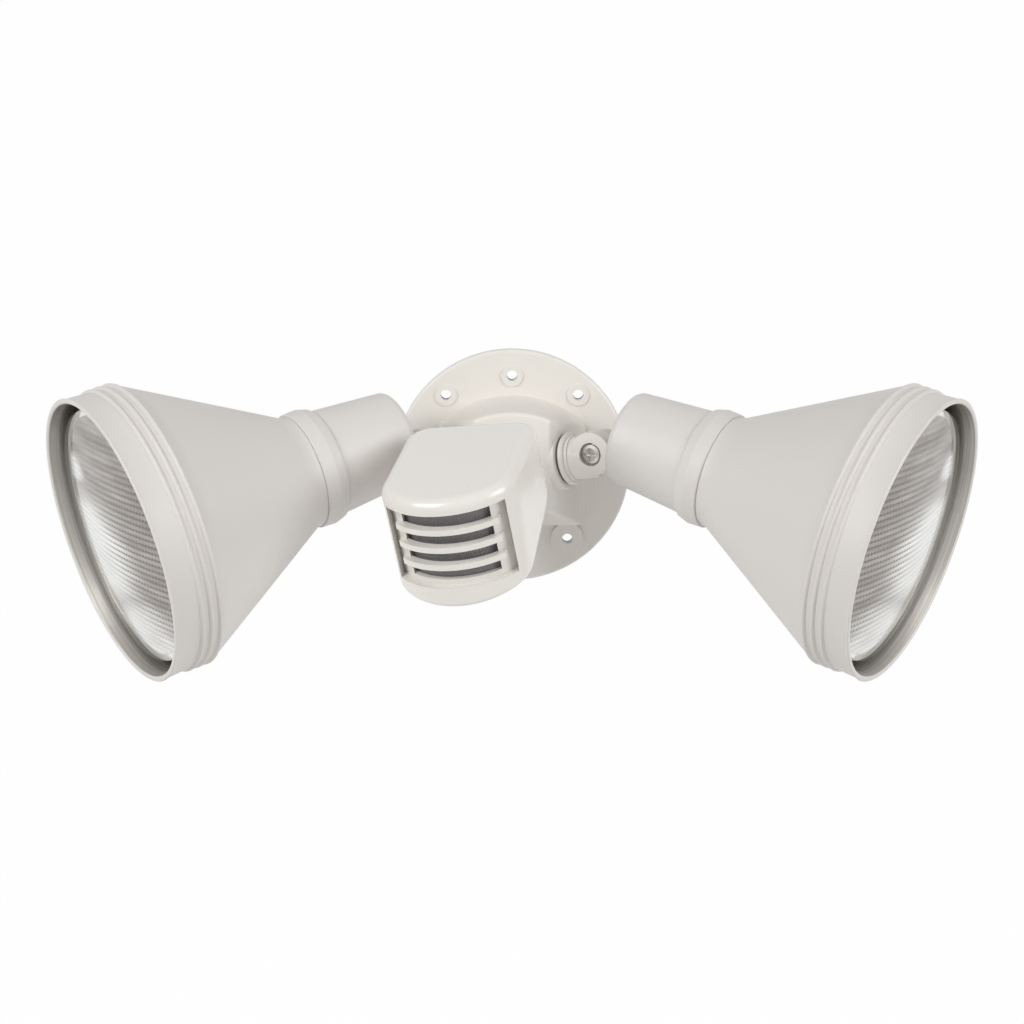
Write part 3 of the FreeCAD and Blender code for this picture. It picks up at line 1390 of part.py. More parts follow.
def knob_frame(sign):
    """Frame of an adjuster knob: origin on the underside, Z out of the head."""
    flat = belly_frame(d.belly_break + d.knob_reach, as_size(0))
    return flat.multiply(FreeCAD.Placement(V(sign * d.knob_spread.value / 2, 0, 0), FreeCAD.Rotation()))


def photocell_frame():
    """Frame of the daylight cell, between the knobs."""
    return belly_frame(d.belly_break + d.knob_reach, as_size(0))


def make_adjusters():
    """The two knobs, their potentiometers and the daylight cell."""
    names = ("time_knob", "range_knob")
    for i, sign in enumerate((-1, 1)):
        spot = head_frame().multiply(knob_frame(sign))
        body = turned(("TimeKnob", "RangeKnob")[i], [
            (0, 0), (0, d.knob_stem_diameter / 2), (d.cover_thickness + 0.3, d.knob_stem_diameter / 2),
            (d.cover_thickness + 0.3, d.knob_diameter / 2),
            (d.cover_thickness + 0.3 + d.knob_height - 0.6, d.knob_diameter / 2),
            (d.cover_thickness + 0.3 + d.knob_height, d.knob_diameter / 2 - 0.6),
            (d.cover_thickness + 0.3 + d.knob_height, 0)])
        end = d.cover_thickness + 0.3 + d.knob_height
        half = d.slot_width / 2
        slot = outline(body, names[i] + "Slot", "XY_Plane", [
            (end - d.slot_depth, -half), (end + 1, -half), (end + 1, half), (end - d.slot_depth, half)])
        pocket(body, slot, d.knob_diameter * 2, symmetric=True)
        turn = FreeCAD.Placement(V(0, 0, -d.cover_thickness.value), FreeCAD.Rotation(V(0, 1, 0), -90))
        node(body, names[i], spot.multiply(turn))
        size = d.adjuster_size
        pot = box(names[i] + "Pot", (-size / 2, -size / 2, -(d.cover_thickness + 0.1 + d.adjuster_height)),
                  (size, size, d.adjuster_height))
        node(pot, ("time_pot", "range_pot")[i], spot.multiply(pot.Placement))
    body = turned("Photocell", [
        (0, 0), (d.photocell_height, 0), (d.photocell_height, d.photocell_diameter / 2 - 0.5),
        (d.photocell_height - 0.5, d.photocell_diameter / 2), (0, d.photocell_diameter / 2)])
    turn = FreeCAD.Placement(V(0, 0, -d.cover_thickness.value), FreeCAD.Rotation(V(0, 1, 0), -90))
    return node(body, "photocell", head_frame().multiply(photocell_frame()).multiply(turn))


def make_cover_screws():
    """Four screws of the underside cover."""
    screws = []
    for i, (x, forward) in enumerate(cover_screw_places()):
        body = turned("CoverScrew%d" % i, [
            (-d.cover_screw_length, 0), (d.cover_screw_head_height, 0),
            (d.cover_screw_head_height, d.cover_screw_head / 2 - 0.7),
            (d.cover_screw_head_height - 0.7, d.cover_screw_head / 2), (0.05, d.cover_screw_head / 2),
            (0.05, d.cover_screw_diameter / 2), (-d.cover_screw_length, d.cover_screw_diameter / 2)])
        spot = belly_frame(forward, as_size(0))
        turn = FreeCAD.Placement(V(x.value, 0, 0), FreeCAD.Rotation(V(0, 1, 0), -90))
        body.Placement = spot.multiply(turn)
        screws.append(body)
    return node(compound("CoverScrews", screws), "cover_screws", head_frame())


# ----------------------------------------------------------------------------------------------------
# Assembly and export
# ----------------------------------------------------------------------------------------------------
def build():
    make_sheet()
    make_wall_plate()
    make_wall_gasket()
    make_ground_screw()
    for side, side_name in ((-1, "Left"), (1, "Right")):
        low = side_name.lower()
        make_port_rings(low, port_frame(side), d.port_boss_height, d.port_bore, d.seal_diameter,
                        d.locknut_diameter, d.locknut_thickness)
        knuckle_arm("LampArm" + side_name, "lamp_arm_" + low, port_frame(side), side, lamp_arm_sizes())
        make_knuckle_screw("KnuckleScrew" + side_name, low, side)
        make_lamp_holder(side_name, side)
        make_collar(side_name, side)
        make_shade(side_name, side)
        make_bulb_gasket(side_name, side)
        make_socket(side_name, side)
        make_bulb(side_name, side)
    make_port_rings("sensor", sensor_port_frame(), d.sensor_boss_height, d.sensor_bore,
                    d.sensor_seal_diameter, d.sensor_locknut_diameter, d.sensor_locknut_thickness)
    knuckle_arm("SensorArm", "sensor_arm", sensor_port_frame(d.sensor_swivel.value), 1, sensor_arm_sizes())
    make_sensor_screw()
    make_sensor_stalk()
    make_sensor_shell()
    make_sensor_back()
    make_cover_screws()
    make_lens_parts()
    make_boards()
    make_adjusters()
    doc.recompute()


def check():
    """Stop if any object failed or any sub-part has no sound shape."""
    bad = [thing.Name for thing in doc.Objects if "Invalid" in thing.State or "Error" in thing.State]
    bad += [thing.Label for thing in NODES if thing.Shape.isNull() or not thing.Shape.isValid()]
    if bad:
        raise RuntimeError("these failed: %s" % ", ".join(bad))


def export():
    os.makedirs("parts", exist_ok=True)
    for thing in NODES:
        thing.Shape.exportStep("parts/%s.step" % thing.Label)


build()
check()
export()
print("sub-parts:", len(NODES))
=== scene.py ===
import math

import bmesh
import bpy
from mathutils import Matrix, Vector


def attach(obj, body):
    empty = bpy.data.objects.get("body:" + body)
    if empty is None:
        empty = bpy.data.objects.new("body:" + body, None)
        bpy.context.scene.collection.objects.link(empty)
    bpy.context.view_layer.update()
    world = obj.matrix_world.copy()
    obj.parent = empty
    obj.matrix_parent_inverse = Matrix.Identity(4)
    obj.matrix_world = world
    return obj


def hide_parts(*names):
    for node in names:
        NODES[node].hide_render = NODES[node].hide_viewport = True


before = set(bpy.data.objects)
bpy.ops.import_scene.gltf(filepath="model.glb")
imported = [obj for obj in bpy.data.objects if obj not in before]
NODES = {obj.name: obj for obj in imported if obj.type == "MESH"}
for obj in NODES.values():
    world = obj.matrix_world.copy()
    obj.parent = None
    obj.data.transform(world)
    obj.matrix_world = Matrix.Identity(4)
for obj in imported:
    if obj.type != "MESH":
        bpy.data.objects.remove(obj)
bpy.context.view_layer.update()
scene = bpy.context.scene

MM = 0.001
SIDES = {"left": -1, "right": 1}

# ----------------------------------------------------------------------------------------------------
# Sizes, in millimetres and degrees: those of the solids, and those of the finer shapes made here
# ----------------------------------------------------------------------------------------------------
PORT_ANGLE = 62.0
PORT_RISE = 10.6
PORT_DEPTH = 27.0
PORT_HEIGHT = 7.4
HOUSING_DEPTH = 39.0
HOUSING_HALF = 18.0
ARM_REACH = 20.0
KNUCKLE_RISE = 2.0
LAMP_TILT = 13.7
AXIS_RISE = 11.5

RIM_DISTANCE = 162.0
RIM_RADIUS = 68.0
SHADE_WALL = 1.4
BAND_LENGTH = 24.0
LIP_LENGTH = 10.5
RIDGE_COUNT = 3
RIDGE_HEIGHT = 1.1
RIDGE_SHARE = 0.56
RIDGE_SPANS = 10
RIM_ROLL = 0.5
CONE_LENGTH = 72.0
CONE_SPANS = 12
BEND_LENGTH = 1.0
NECK_RADIUS = 26.9
NECK_LIP = 2.5
SHADE_SEGMENTS = 192
TURNING_UNIT = 100.0

BULB_RADIUS = 60.5
BULB_RECESS = 6.0
LENS_INSET = 0.4
LENS_SKIRT = 1.9
LENS_DOME = 5.0
LENS_RINGS = 24
LENS_SEGMENTS = 128
LENS_THICKNESS = 2.2
GLASS = 2.6
LENSLET_PITCH = 3.05
LENSLET_HEIGHT = 0.55
LENSLET_STEPS = 6
LENSLET_FADE = 2.0

CHIN_HEIGHT = 16.0
SENSOR_PORT_DEPTH = 30.0
SENSOR_PORT_DROP = 66.0
SENSOR_REACH = 17.0
SENSOR_SWIVEL = 16.0
SENSOR_TILT = 16.4
HEAD_OFFSET = 1.4
HEAD_SETBACK = 20.8
HEAD_RISE = 80.6
HEAD_WIDTH = 62.6
HEAD_SIDE = 60.0
HEAD_BULGE = 18.3
RECESS_DEPTH = 4.0
HEAD_WALL = 2.5
SCREEN_GAP = 0.25
SCREEN_THICKNESS = 1.0
SCREEN_HALF = 23.5
SCREEN_TOP = 6.0
SCREEN_BOTTOM = 43.8
SCREEN_RIBS = 54
SCREEN_RIB_STEPS = 6
SCREEN_RIB_DEPTH = 0.22
SCREEN_SEAM_DEPTH = 0.352
SCREEN_SEAMS = (1 / 3, 2 / 3)
SEAM_FLOOR_HALF = 0.15
SEAM_HALF = 0.45


# ----------------------------------------------------------------------------------------------------
# Frames
# ----------------------------------------------------------------------------------------------------
def heading(turn, rise):
    """Unit vector that points from the wall, turned to the right and raised."""
    t, r = math.radians(turn), math.radians(rise)
    return Vector((math.cos(r) * math.sin(t), -math.cos(r) * math.cos(t), math.sin(r)))


def frame_of(origin, along, upward):
    """Matrix in metres with X along, Z upward, from a place in millimetres."""
    x = along.normalized()
    z = (upward - x * x.dot(upward)).normalized()
    y = z.cross(x)
    turn = Matrix((x, y, z)).transposed()
    return Matrix.Translation(Vector(origin) * MM) @ turn.to_4x4()


def lamp_frame(side):
    """X along the lamp's axis, and the origin on it above the knuckle."""
    slope = math.tan(math.radians(90 - PORT_ANGLE))
    x = side * (HOUSING_HALF + (HOUSING_DEPTH - PORT_DEPTH) * slope)
    port = Vector((x, -PORT_DEPTH, PORT_HEIGHT))
    out = heading(side * PORT_ANGLE, PORT_RISE)
    up = heading(side * PORT_ANGLE, 90 + PORT_RISE)
    knuckle = port + out * ARM_REACH + up * KNUCKLE_RISE
    along = heading(side * PORT_ANGLE, -LAMP_TILT)
    upward = heading(side * PORT_ANGLE, 90 - LAMP_TILT)
    return frame_of(knuckle + upward * AXIS_RISE, along, upward)


def head_frame():
    """Origin at the sensor's knuckle, X across the head's middle, front along -Y."""
    slope = math.tan(math.radians(90 - SENSOR_PORT_DROP))
    z = -(CHIN_HEIGHT + (HOUSING_DEPTH - SENSOR_PORT_DEPTH) * slope)
    out = heading(0, -SENSOR_PORT_DROP)
    knuckle = Vector((0, -SENSOR_PORT_DEPTH, z)) + out * SENSOR_REACH
    swivel = Matrix.Rotation(math.radians(SENSOR_SWIVEL), 4, out)
    tilt = Matrix.Rotation(math.radians(SENSOR_TILT), 4, "X")
    shift = Matrix.Translation(Vector((HEAD_OFFSET * MM, 0, 0)))
    return Matrix.Translation(knuckle * MM) @ swivel @ tilt @ shift


# ----------------------------------------------------------------------------------------------------
# Materials
# ----------------------------------------------------------------------------------------------------
def shader(name, color, rough, metal=0.0, **more):
    """A material and its main shader, with constants straight on its sockets."""
    mat = bpy.data.materials.new(name)
    mat.use_nodes = True
    main = mat.node_tree.nodes["Principled BSDF"]
    main.inputs["Base Color"].default_value = (*color, 1.0)
    main.inputs["Roughness"].default_value = rough
    main.inputs["Metallic"].default_value = metal
    for key, value in more.items():
        main.inputs[key.replace("_", " ")].default_value = value
    return mat, main


def add(mat, kind, **values):
    """A node for a material or the world, with its inputs set by name."""
    item = mat.node_tree.nodes.new(kind)
    for key, value in values.items():
        item.inputs[key.replace("_", " ")].default_value = value
    return item


def link(mat, source, target):
    """Join two sockets in the nodes of a material or of the world."""
    mat.node_tree.links.new(source, target)


def noise(mat, scale, stretch=(1, 1, 1), detail=3.0, coords="Object"):
    """Noise in object space in cells per metre, or on a UV layer, stretched along the axes."""
    mapping = add(mat, "ShaderNodeMapping", Scale=stretch)
    grain = add(mat, "ShaderNodeTexNoise", Scale=scale, Detail=detail)
    if coords == "Object":
        where = add(mat, "ShaderNodeTexCoord").outputs["Object"]
    else:
        layer = mat.node_tree.nodes.new("ShaderNodeUVMap")
        layer.uv_map = coords
        where = layer.outputs[0]
    link(mat, where, mapping.inputs["Vector"])
    link(mat, mapping.outputs["Vector"], grain.inputs["Vector"])
    return grain.outputs["Fac"]


def remap(mat, value, low_end, high_end, start=0.3, stop=0.7):
    """Turn a value's middle range into another range."""
    item = add(mat, "ShaderNodeMapRange", From_Min=start, From_Max=stop, To_Min=low_end, To_Max=high_end)
    link(mat, value, item.inputs["Value"])
    return item.outputs["Result"]


def tone(mat, value, dark, light, start=0.3, stop=0.7):
    """Blend two colours by a value's middle range."""
    item = mat.node_tree.nodes.new("ShaderNodeMix")
    item.data_type = "RGBA"
    item.inputs[6].default_value = (*dark, 1.0)
    item.inputs[7].default_value = (*light, 1.0)
    link(mat, remap(mat, value, 0.0, 1.0, start, stop), item.inputs[0])
    return item.outputs[2]


def combine(mat, kind, first, second):
    """Join two values, or a value and a number, by arithmetic."""
    item = mat.node_tree.nodes.new("ShaderNodeMath")
    item.operation = kind
    for socket, value in zip(item.inputs, (first, second)):
        if isinstance(value, (int, float)):
            socket.default_value = value
        else:
            link(mat, value, socket)
    return item.outputs[0]


def patch(mat, layer, centre, size):
    """One in the core of an oval on a UV layer, falling softly to zero at its edge."""
    core = 0.35
    where = mat.node_tree.nodes.new("ShaderNodeUVMap")
    where.uv_map = layer
    mapping = add(mat, "ShaderNodeMapping", Scale=(1 / size[0], 1 / size[1], 0))
    mapping.inputs["Location"].default_value = (-centre[0] / size[0], -centre[1] / size[1], 0)
    link(mat, where.outputs[0], mapping.inputs["Vector"])
    reach = mat.node_tree.nodes.new("ShaderNodeVectorMath")
    reach.operation = "LENGTH"
    link(mat, mapping.outputs["Vector"], reach.inputs[0])
    item = add(mat, "ShaderNodeMapRange", From_Min=1.0, From_Max=core, To_Min=0.0, To_Max=1.0)
    item.interpolation_type = "SMOOTHSTEP"
    link(mat, reach.outputs["Value"], item.inputs["Value"])
    return item.outputs["Result"]


def bump(mat, main, heights, distance, strength, before=None):
    """Raise the surface by a pattern, over an earlier one where it is given."""
    item = add(mat, "ShaderNodeBump", Distance=distance, Strength=strength)
    link(mat, heights, item.inputs["Height"])
    if before is not None:
        link(mat, before, item.inputs["Normal"])
    link(mat, item.outputs["Normal"], main.inputs["Normal"])
    return item.outputs["Normal"]


def paint(name, color, rough, grain, depth):
    """Sprayed enamel: a fine orange-peel grain and slightly uneven gloss."""
    spread = 0.07
    mat, main = shader(name, color, rough, Specular_IOR_Level=0.45)
    link(mat, remap(mat, noise(mat, 38.0), rough - spread, rough + spread), main.inputs["Roughness"])
    broad = bump(mat, main, noise(mat, 120.0), depth * 2.5, 0.5)
    bump(mat, main, noise(mat, grain, detail=5.0), depth, 0.8, before=broad)
    return mat


def moulded(name, color, rough, depth=0.00001, **more):
    """Moulded plastic or rubber with a faint grain."""
    mat, main = shader(name, color, rough, **more)
    link(mat, remap(mat, noise(mat, 60.0), rough * 0.85, rough * 1.2), main.inputs["Roughness"])
    bump(mat, main, noise(mat, 700.0, detail=4.0), depth, 0.6)
    return mat


def metal(name, color, rough, depth=0.00001, scale=900.0):
    """Bare or plated metal with a fine grain."""
    mat, main = shader(name, color, rough, 1.0)
    grain = noise(mat, scale)
    link(mat, remap(mat, grain, rough * 0.75, rough * 1.3), main.inputs["Roughness"])
    bump(mat, main, grain, depth, 0.6)
    return mat


def spun_metal(name):
    """Inside of the spun shade: bare metal with fine turning marks round the axis."""
    mat, main = shader(name, (0.33, 0.315, 0.29), 0.42, 1.0)
    fine = noise(mat, 1.0, (6.0, 950.0, 1.0), 4.0, "turning")
    coarse = noise(mat, 1.0, (2.5, 150.0, 1.0), 2.0, "turning")
    link(mat, remap(mat, fine, 0.34, 0.56), main.inputs["Roughness"])
    link(mat, tone(mat, coarse, (0.42, 0.395, 0.365), (0.68, 0.65, 0.61)), main.inputs["Base Color"])
    first = bump(mat, main, coarse, 0.00010, 0.5)
    bump(mat, main, fine, 0.00004, 0.9, before=first)
    return mat


def clear_glass(name, rough):
    """Solid glass that bends what is seen through it."""
    return shader(name, (0.97, 0.98, 0.98), rough, IOR=1.5, Transmission_Weight=1.0)[0]


def cover_glass(name):
    """Thin clear glass: see-through, and its outside reflects more towards the edges."""
    mat = bpy.data.materials.new(name)
    mat.use_nodes = True
    nodes = mat.node_tree.nodes
    clear = add(mat, "ShaderNodeBsdfTransparent", Color=(0.97, 0.98, 0.98, 1.0))
    shine = add(mat, "ShaderNodeBsdfGlossy", Roughness=0.03)
    edge = add(mat, "ShaderNodeFresnel", IOR=1.45)
    side = nodes.new("ShaderNodeNewGeometry")
    outside = combine(mat, "SUBTRACT", 1.0, side.outputs["Backfacing"])
    mix = nodes.new("ShaderNodeMixShader")
    link(mat, combine(mat, "MULTIPLY", edge.outputs[0], outside), mix.inputs[0])
    link(mat, clear.outputs[0], mix.inputs[1])
    link(mat, shine.outputs[0], mix.inputs[2])
    link(mat, mix.outputs[0], nodes["Material Output"].inputs["Surface"])
    return mat


def lens_back_painted_light(name):
    """Silvery lens back with painted light: a shade dot in each lenslet, broad highlights and
    reflections.

    The face layer runs from -1 at the lens's outer edge to 1 at its inner one, and from bottom to top.
    """
    mat, main = shader(name, (0.6, 0.58, 0.56), 0.20, 0.40)
    where = mat.node_tree.nodes.new("ShaderNodeUVMap")
    where.uv_map = "cells"
    split = mat.node_tree.nodes.new("ShaderNodeSeparateXYZ")
    link(mat, where.outputs[0], split.inputs[0])
    # Lenslet waves that place the painted shade dots.
    waves = []
    for axis in (0, 1):
        turn = combine(mat, "MULTIPLY", split.outputs[axis], 2 * math.pi)
        waves.append(combine(mat, "COSINE", turn, 0.0))
    across, along = waves
    crest = combine(mat, "MULTIPLY", remap(mat, across, 0.25, 1.0, -1.0, 1.0),
                    remap(mat, along, 0.0, 1.0, 0.0, 1.0))
    # Painted highlights and reflections: a broad patch towards the outer edge, a flare near the outer
    # top, a glow at the foot.
    painted_highlight = patch(mat, "face", (-0.60, -0.20), (1.05, 0.62))
    painted_flare = patch(mat, "face", (-0.85, 0.45), (0.42, 0.16))
    foot = patch(mat, "face", (0.05, -0.85), (0.90, 0.42))
    # Where the painted shade dots are strongest: towards the lens's inner side.
    inner = patch(mat, "face", (0.65, -0.05), (1.45, 1.05))
    light = combine(mat, "MAXIMUM", combine(mat, "MAXIMUM", painted_highlight, painted_flare),
                    combine(mat, "MULTIPLY", foot, 0.75))
    # Uneven painted light level in soft random bands, added to the painted highlights.
    drift = remap(mat, noise(mat, 1.0, (1.2, 7.0, 1.0), 2.0, "face"), -0.16, 0.16)
    level = combine(mat, "ADD", remap(mat, light, 0.22, 1.05, 0.0, 1.0), drift)
    # Painted shade: a dark dot in each lenslet, stronger towards the inner side.
    painted_dot_shade = remap(mat, crest, 0.0, 0.95, 0.08, 0.45)
    depth = combine(mat, "MULTIPLY", painted_dot_shade, remap(mat, inner, 0.10, 1.0, 0.0, 1.0))
    # Painted tone: the painted light level, darkened in the painted shade dots, from dark brown to near
    # white.
    painted_tone = combine(mat, "MULTIPLY", level, combine(mat, "SUBTRACT", 1.0, depth))
    color = tone(mat, painted_tone, (0.12, 0.082, 0.055), (0.98, 0.96, 0.94), 0.0, 1.0)
    link(mat, color, main.inputs["Base Color"])
    return mat


PLATE_PAINT = paint("plate_paint", (0.785, 0.755, 0.705), 0.42, 1500.0, 0.000012)
LAMP_PAINT = paint("lamp_paint", (0.67, 0.642, 0.61), 0.48, 1700.0, 0.000022)
HEAD_PLASTIC = moulded("head_plastic", (0.76, 0.735, 0.685), 0.24, Coat_Weight=0.25)
SHADE_INSIDE = spun_metal("shade_inside")
SILVER = metal("reflector_silver", (0.93, 0.93, 0.92), 0.07, depth=0.000004, scale=300.0)
LENS_GLASS = cover_glass("lens_glass")
# The lens back's material holds painted highlights, reflections and a painted shade dot in each lenslet.
LENS_BACK_PAINTED_LIGHT = lens_back_painted_light("lens_back")
CAPSULE_GLASS = clear_glass("capsule_glass", 0.08)
SCREEN = moulded("sensor_screen", (0.205, 0.195, 0.20), 0.30, Specular_IOR_Level=0.6)
FOAM = moulded("gasket_foam", (0.035, 0.035, 0.035), 0.9, 0.00008)
RUBBER = moulded("seal_rubber", (0.12, 0.115, 0.11), 0.7, 0.00003)
ZINC = metal("zinc_steel", (0.60, 0.59, 0.56), 0.34)
GREEN_STEEL = metal("green_steel", (0.05, 0.32, 0.10), 0.36)
CERAMIC = moulded("socket_ceramic", (0.80, 0.77, 0.70), 0.5, 0.00002)
SHELL_METAL = metal("shell_metal", (0.74, 0.73, 0.70), 0.3)
BRASS = metal("contact_brass", (0.76, 0.55, 0.24), 0.28)
DARK_PLASTIC = moulded("inner_plastic", (0.03, 0.03, 0.03), 0.5)
BOARD = moulded("board_laminate", (0.02, 0.16, 0.05), 0.35)
RELAY_CASE = moulded("relay_plastic", (0.02, 0.09, 0.34), 0.35)
FILM_CASE = moulded("film_plastic", (0.55, 0.33, 0.03), 0.3)
LACQUER = moulded("resistor_body", (0.28, 0.36, 0.44), 0.4)
CAN = metal("can_steel", (0.72, 0.72, 0.70), 0.22)
RED_LENS = moulded("indicator_red", (0.55, 0.02, 0.015), 0.2)
CELL_WINDOW = moulded("cell_plastic", (0.16, 0.06, 0.03), 0.18)
KNOB_PLASTIC = moulded("knob_plastic", (0.045, 0.045, 0.045), 0.45)

NODE_MATERIALS = {
    "wall_plate": PLATE_PAINT, "wall_gasket": FOAM, "ground_screw": GREEN_STEEL, "port_seal": RUBBER,
    "port_locknut": PLATE_PAINT, "lamp_arm": PLATE_PAINT, "knuckle_screw": ZINC, "knuckle_washer": ZINC,
    "lamp_holder": LAMP_PAINT, "shade": LAMP_PAINT, "bulb_gasket": RUBBER, "socket_insulator": CERAMIC,
    "screw_shell": SHELL_METAL, "centre_contact": BRASS, "bulb_reflector": SILVER,
    "bulb_lens": LENS_GLASS, "bulb_base": SHELL_METAL, "bulb_capsule": CAPSULE_GLASS,
    "sensor_arm": PLATE_PAINT, "sensor_knuckle": ZINC, "sensor_stalk": HEAD_PLASTIC,
    "sensor_shell": HEAD_PLASTIC,
    "sensor_back": HEAD_PLASTIC, "cover_screws": ZINC, "fresnel_lens": SCREEN,
    "lens_retainer": DARK_PLASTIC, "pir_sensor": CAN, "sensor_board": BOARD, "relay": RELAY_CASE,
    "film_capacitor": FILM_CASE, "power_resistor": LACQUER, "photocell": CELL_WINDOW,
    "test_lamp": RED_LENS, "time_pot": RELAY_CASE, "range_pot": RELAY_CASE, "time_knob": KNOB_PLASTIC,
    "range_knob": KNOB_PLASTIC,
}


def dress_nodes():
    """Give every node of the frame its finish."""
    for name, obj in NODES.items():
        stem = max((key for key in NODE_MATERIALS if name.startswith(key)), key=len)
        obj.data.materials.clear()
        obj.data.materials.append(NODE_MATERIALS[stem])


# ----------------------------------------------------------------------------------------------------
# Meshes
# ----------------------------------------------------------------------------------------------------
def make_object(name, points, faces, matrix, materials, smooth_angle=30.0):
    """An object from points of a local frame in millimetres, with creases only at sharp edges."""
    mesh = bpy.data.meshes.new(name)
    mesh.from_pydata([matrix @ (Vector(p) * MM) for p in points], [], faces)
    mesh.update()
    for mat in materials:
        mesh.materials.append(mat)
    mesh.shade_smooth()
    mesh.set_sharp_from_angle(angle=math.radians(smooth_angle))
    obj = bpy.data.objects.new(name, mesh)
    scene.collection.objects.link(obj)
    return obj


def lathe(name, profile, matrix, materials, bands, segments):
    """Turn (along, radius) corners about X. bands gives each profile span its material index.

    On the turning layer, U goes once round and V follows the profile, in steps of TURNING_UNIT.
    """
    points, faces = [], []
    for along, radius in profile:
        for k in range(segments):
            turn = 2 * math.pi * k / segments
            points.append((along, radius * math.cos(turn), radius * math.sin(turn)))
    for i in range(len(profile) - 1):
        for k in range(segments):
            n = (k + 1) % segments
            a, b = i * segments + k, i * segments + n
            faces.append((a, b, b + segments, a + segments))
    obj = make_object(name, points, faces, matrix, materials)
    mesh = obj.data
    length = [0.0]
    for (x0, r0), (x1, r1) in zip(profile, profile[1:]):
        length.append(length[-1] + math.hypot(x1 - x0, r1 - r0) / TURNING_UNIT)
    layer = mesh.uv_layers.new(name="turning")
    for f, poly in enumerate(mesh.polygons):
        i, k = divmod(f, segments)
        poly.material_index = bands[i]
        around = ((k, i), (k + 1, i), (k + 1, i + 1), (k, i + 1))
        for loop, (u, v) in zip(poly.loop_indices, around):
            layer.data[loop].uv = (u / segments, length[v])
    weld(mesh)
    return obj


def weld(mesh):
    """Join the points that lie on the axis, so that no flat faces are left there."""
    work = bmesh.new()
    work.from_mesh(mesh)
    bmesh.ops.remove_doubles(work, verts=work.verts, dist=1e-7)
    work.to_mesh(mesh)
    work.free()


def arc(start, end, rise, count):
    """Points between two corners on a bulge of that rise, ends left out."""
    (x0, r0), (x1, r1) = start, end
    points = []
    for i in range(1, count):
        t = i / count
        lift = rise * 4 * t * (1 - t)
        points.append((x0 + (x1 - x0) * t, r0 + (r1 - r0) * t + lift))
    return points


def shade_profile():
    """Outline of the spun shade from its neck's inside, round the rim and back, with its bands."""
    body = RIM_RADIUS - RIDGE_HEIGHT
    back = RIM_DISTANCE - BAND_LENGTH
    neck = back - CONE_LENGTH
    inside = body - SHADE_WALL
    bare = [(neck - NECK_LIP, NECK_RADIUS - SHADE_WALL), (neck, NECK_RADIUS - SHADE_WALL)]
    bare += arc(bare[-1], (back, inside), 0.0, CONE_SPANS)
    bare += [(back, inside), (back + BEND_LENGTH, inside), (RIM_DISTANCE - RIM_ROLL, inside)]
    roll = [(RIM_DISTANCE, inside + RIM_ROLL), (RIM_DISTANCE, RIM_RADIUS - RIM_ROLL),
            (RIM_DISTANCE - RIM_ROLL, RIM_RADIUS),
            (RIM_DISTANCE - RIM_ROLL * 4, body + RIDGE_HEIGHT * 0.5)]
    front = RIM_DISTANCE - LIP_LENGTH
    pitch = (BAND_LENGTH - LIP_LENGTH) / RIDGE_COUNT
    crest = pitch * RIDGE_SHARE
    painted = []
    for i in range(RIDGE_COUNT):
        valley = (front - pitch * i, body)
        foot = (front - pitch * i - (pitch - crest), body)
        painted += [valley, foot]
        painted += arc(foot, (foot[0] - crest, body), RIDGE_HEIGHT, RIDGE_SPANS)
    painted += [(back, body)]
    painted += arc((back, body), (neck, NECK_RADIUS), 0.0, CONE_SPANS)
    painted += [(neck, NECK_RADIUS), (neck - NECK_LIP, NECK_RADIUS)]
    profile = bare + roll + painted
    bands = [1 if i < len(bare) - 1 else 0 for i in range(len(profile) - 1)]
    return profile, bands


def make_shade(side_name, matrix):
    """Spun shade, painted outside and bare inside, with its rolled rim and ridges."""
    profile, bands = shade_profile()
    finishes = [LAMP_PAINT, SHADE_INSIDE]
    obj = lathe("spun_shade_" + side_name, profile, matrix, finishes, bands, SHADE_SEGMENTS)
    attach(obj, "lamp_" + side_name)
    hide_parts("shade_" + side_name)


def dome(radius, reach, rise):
    """Distance in front of the edge's plane at a radius, on a shallow dome."""
    return rise * (1 - (radius / reach) ** 2)


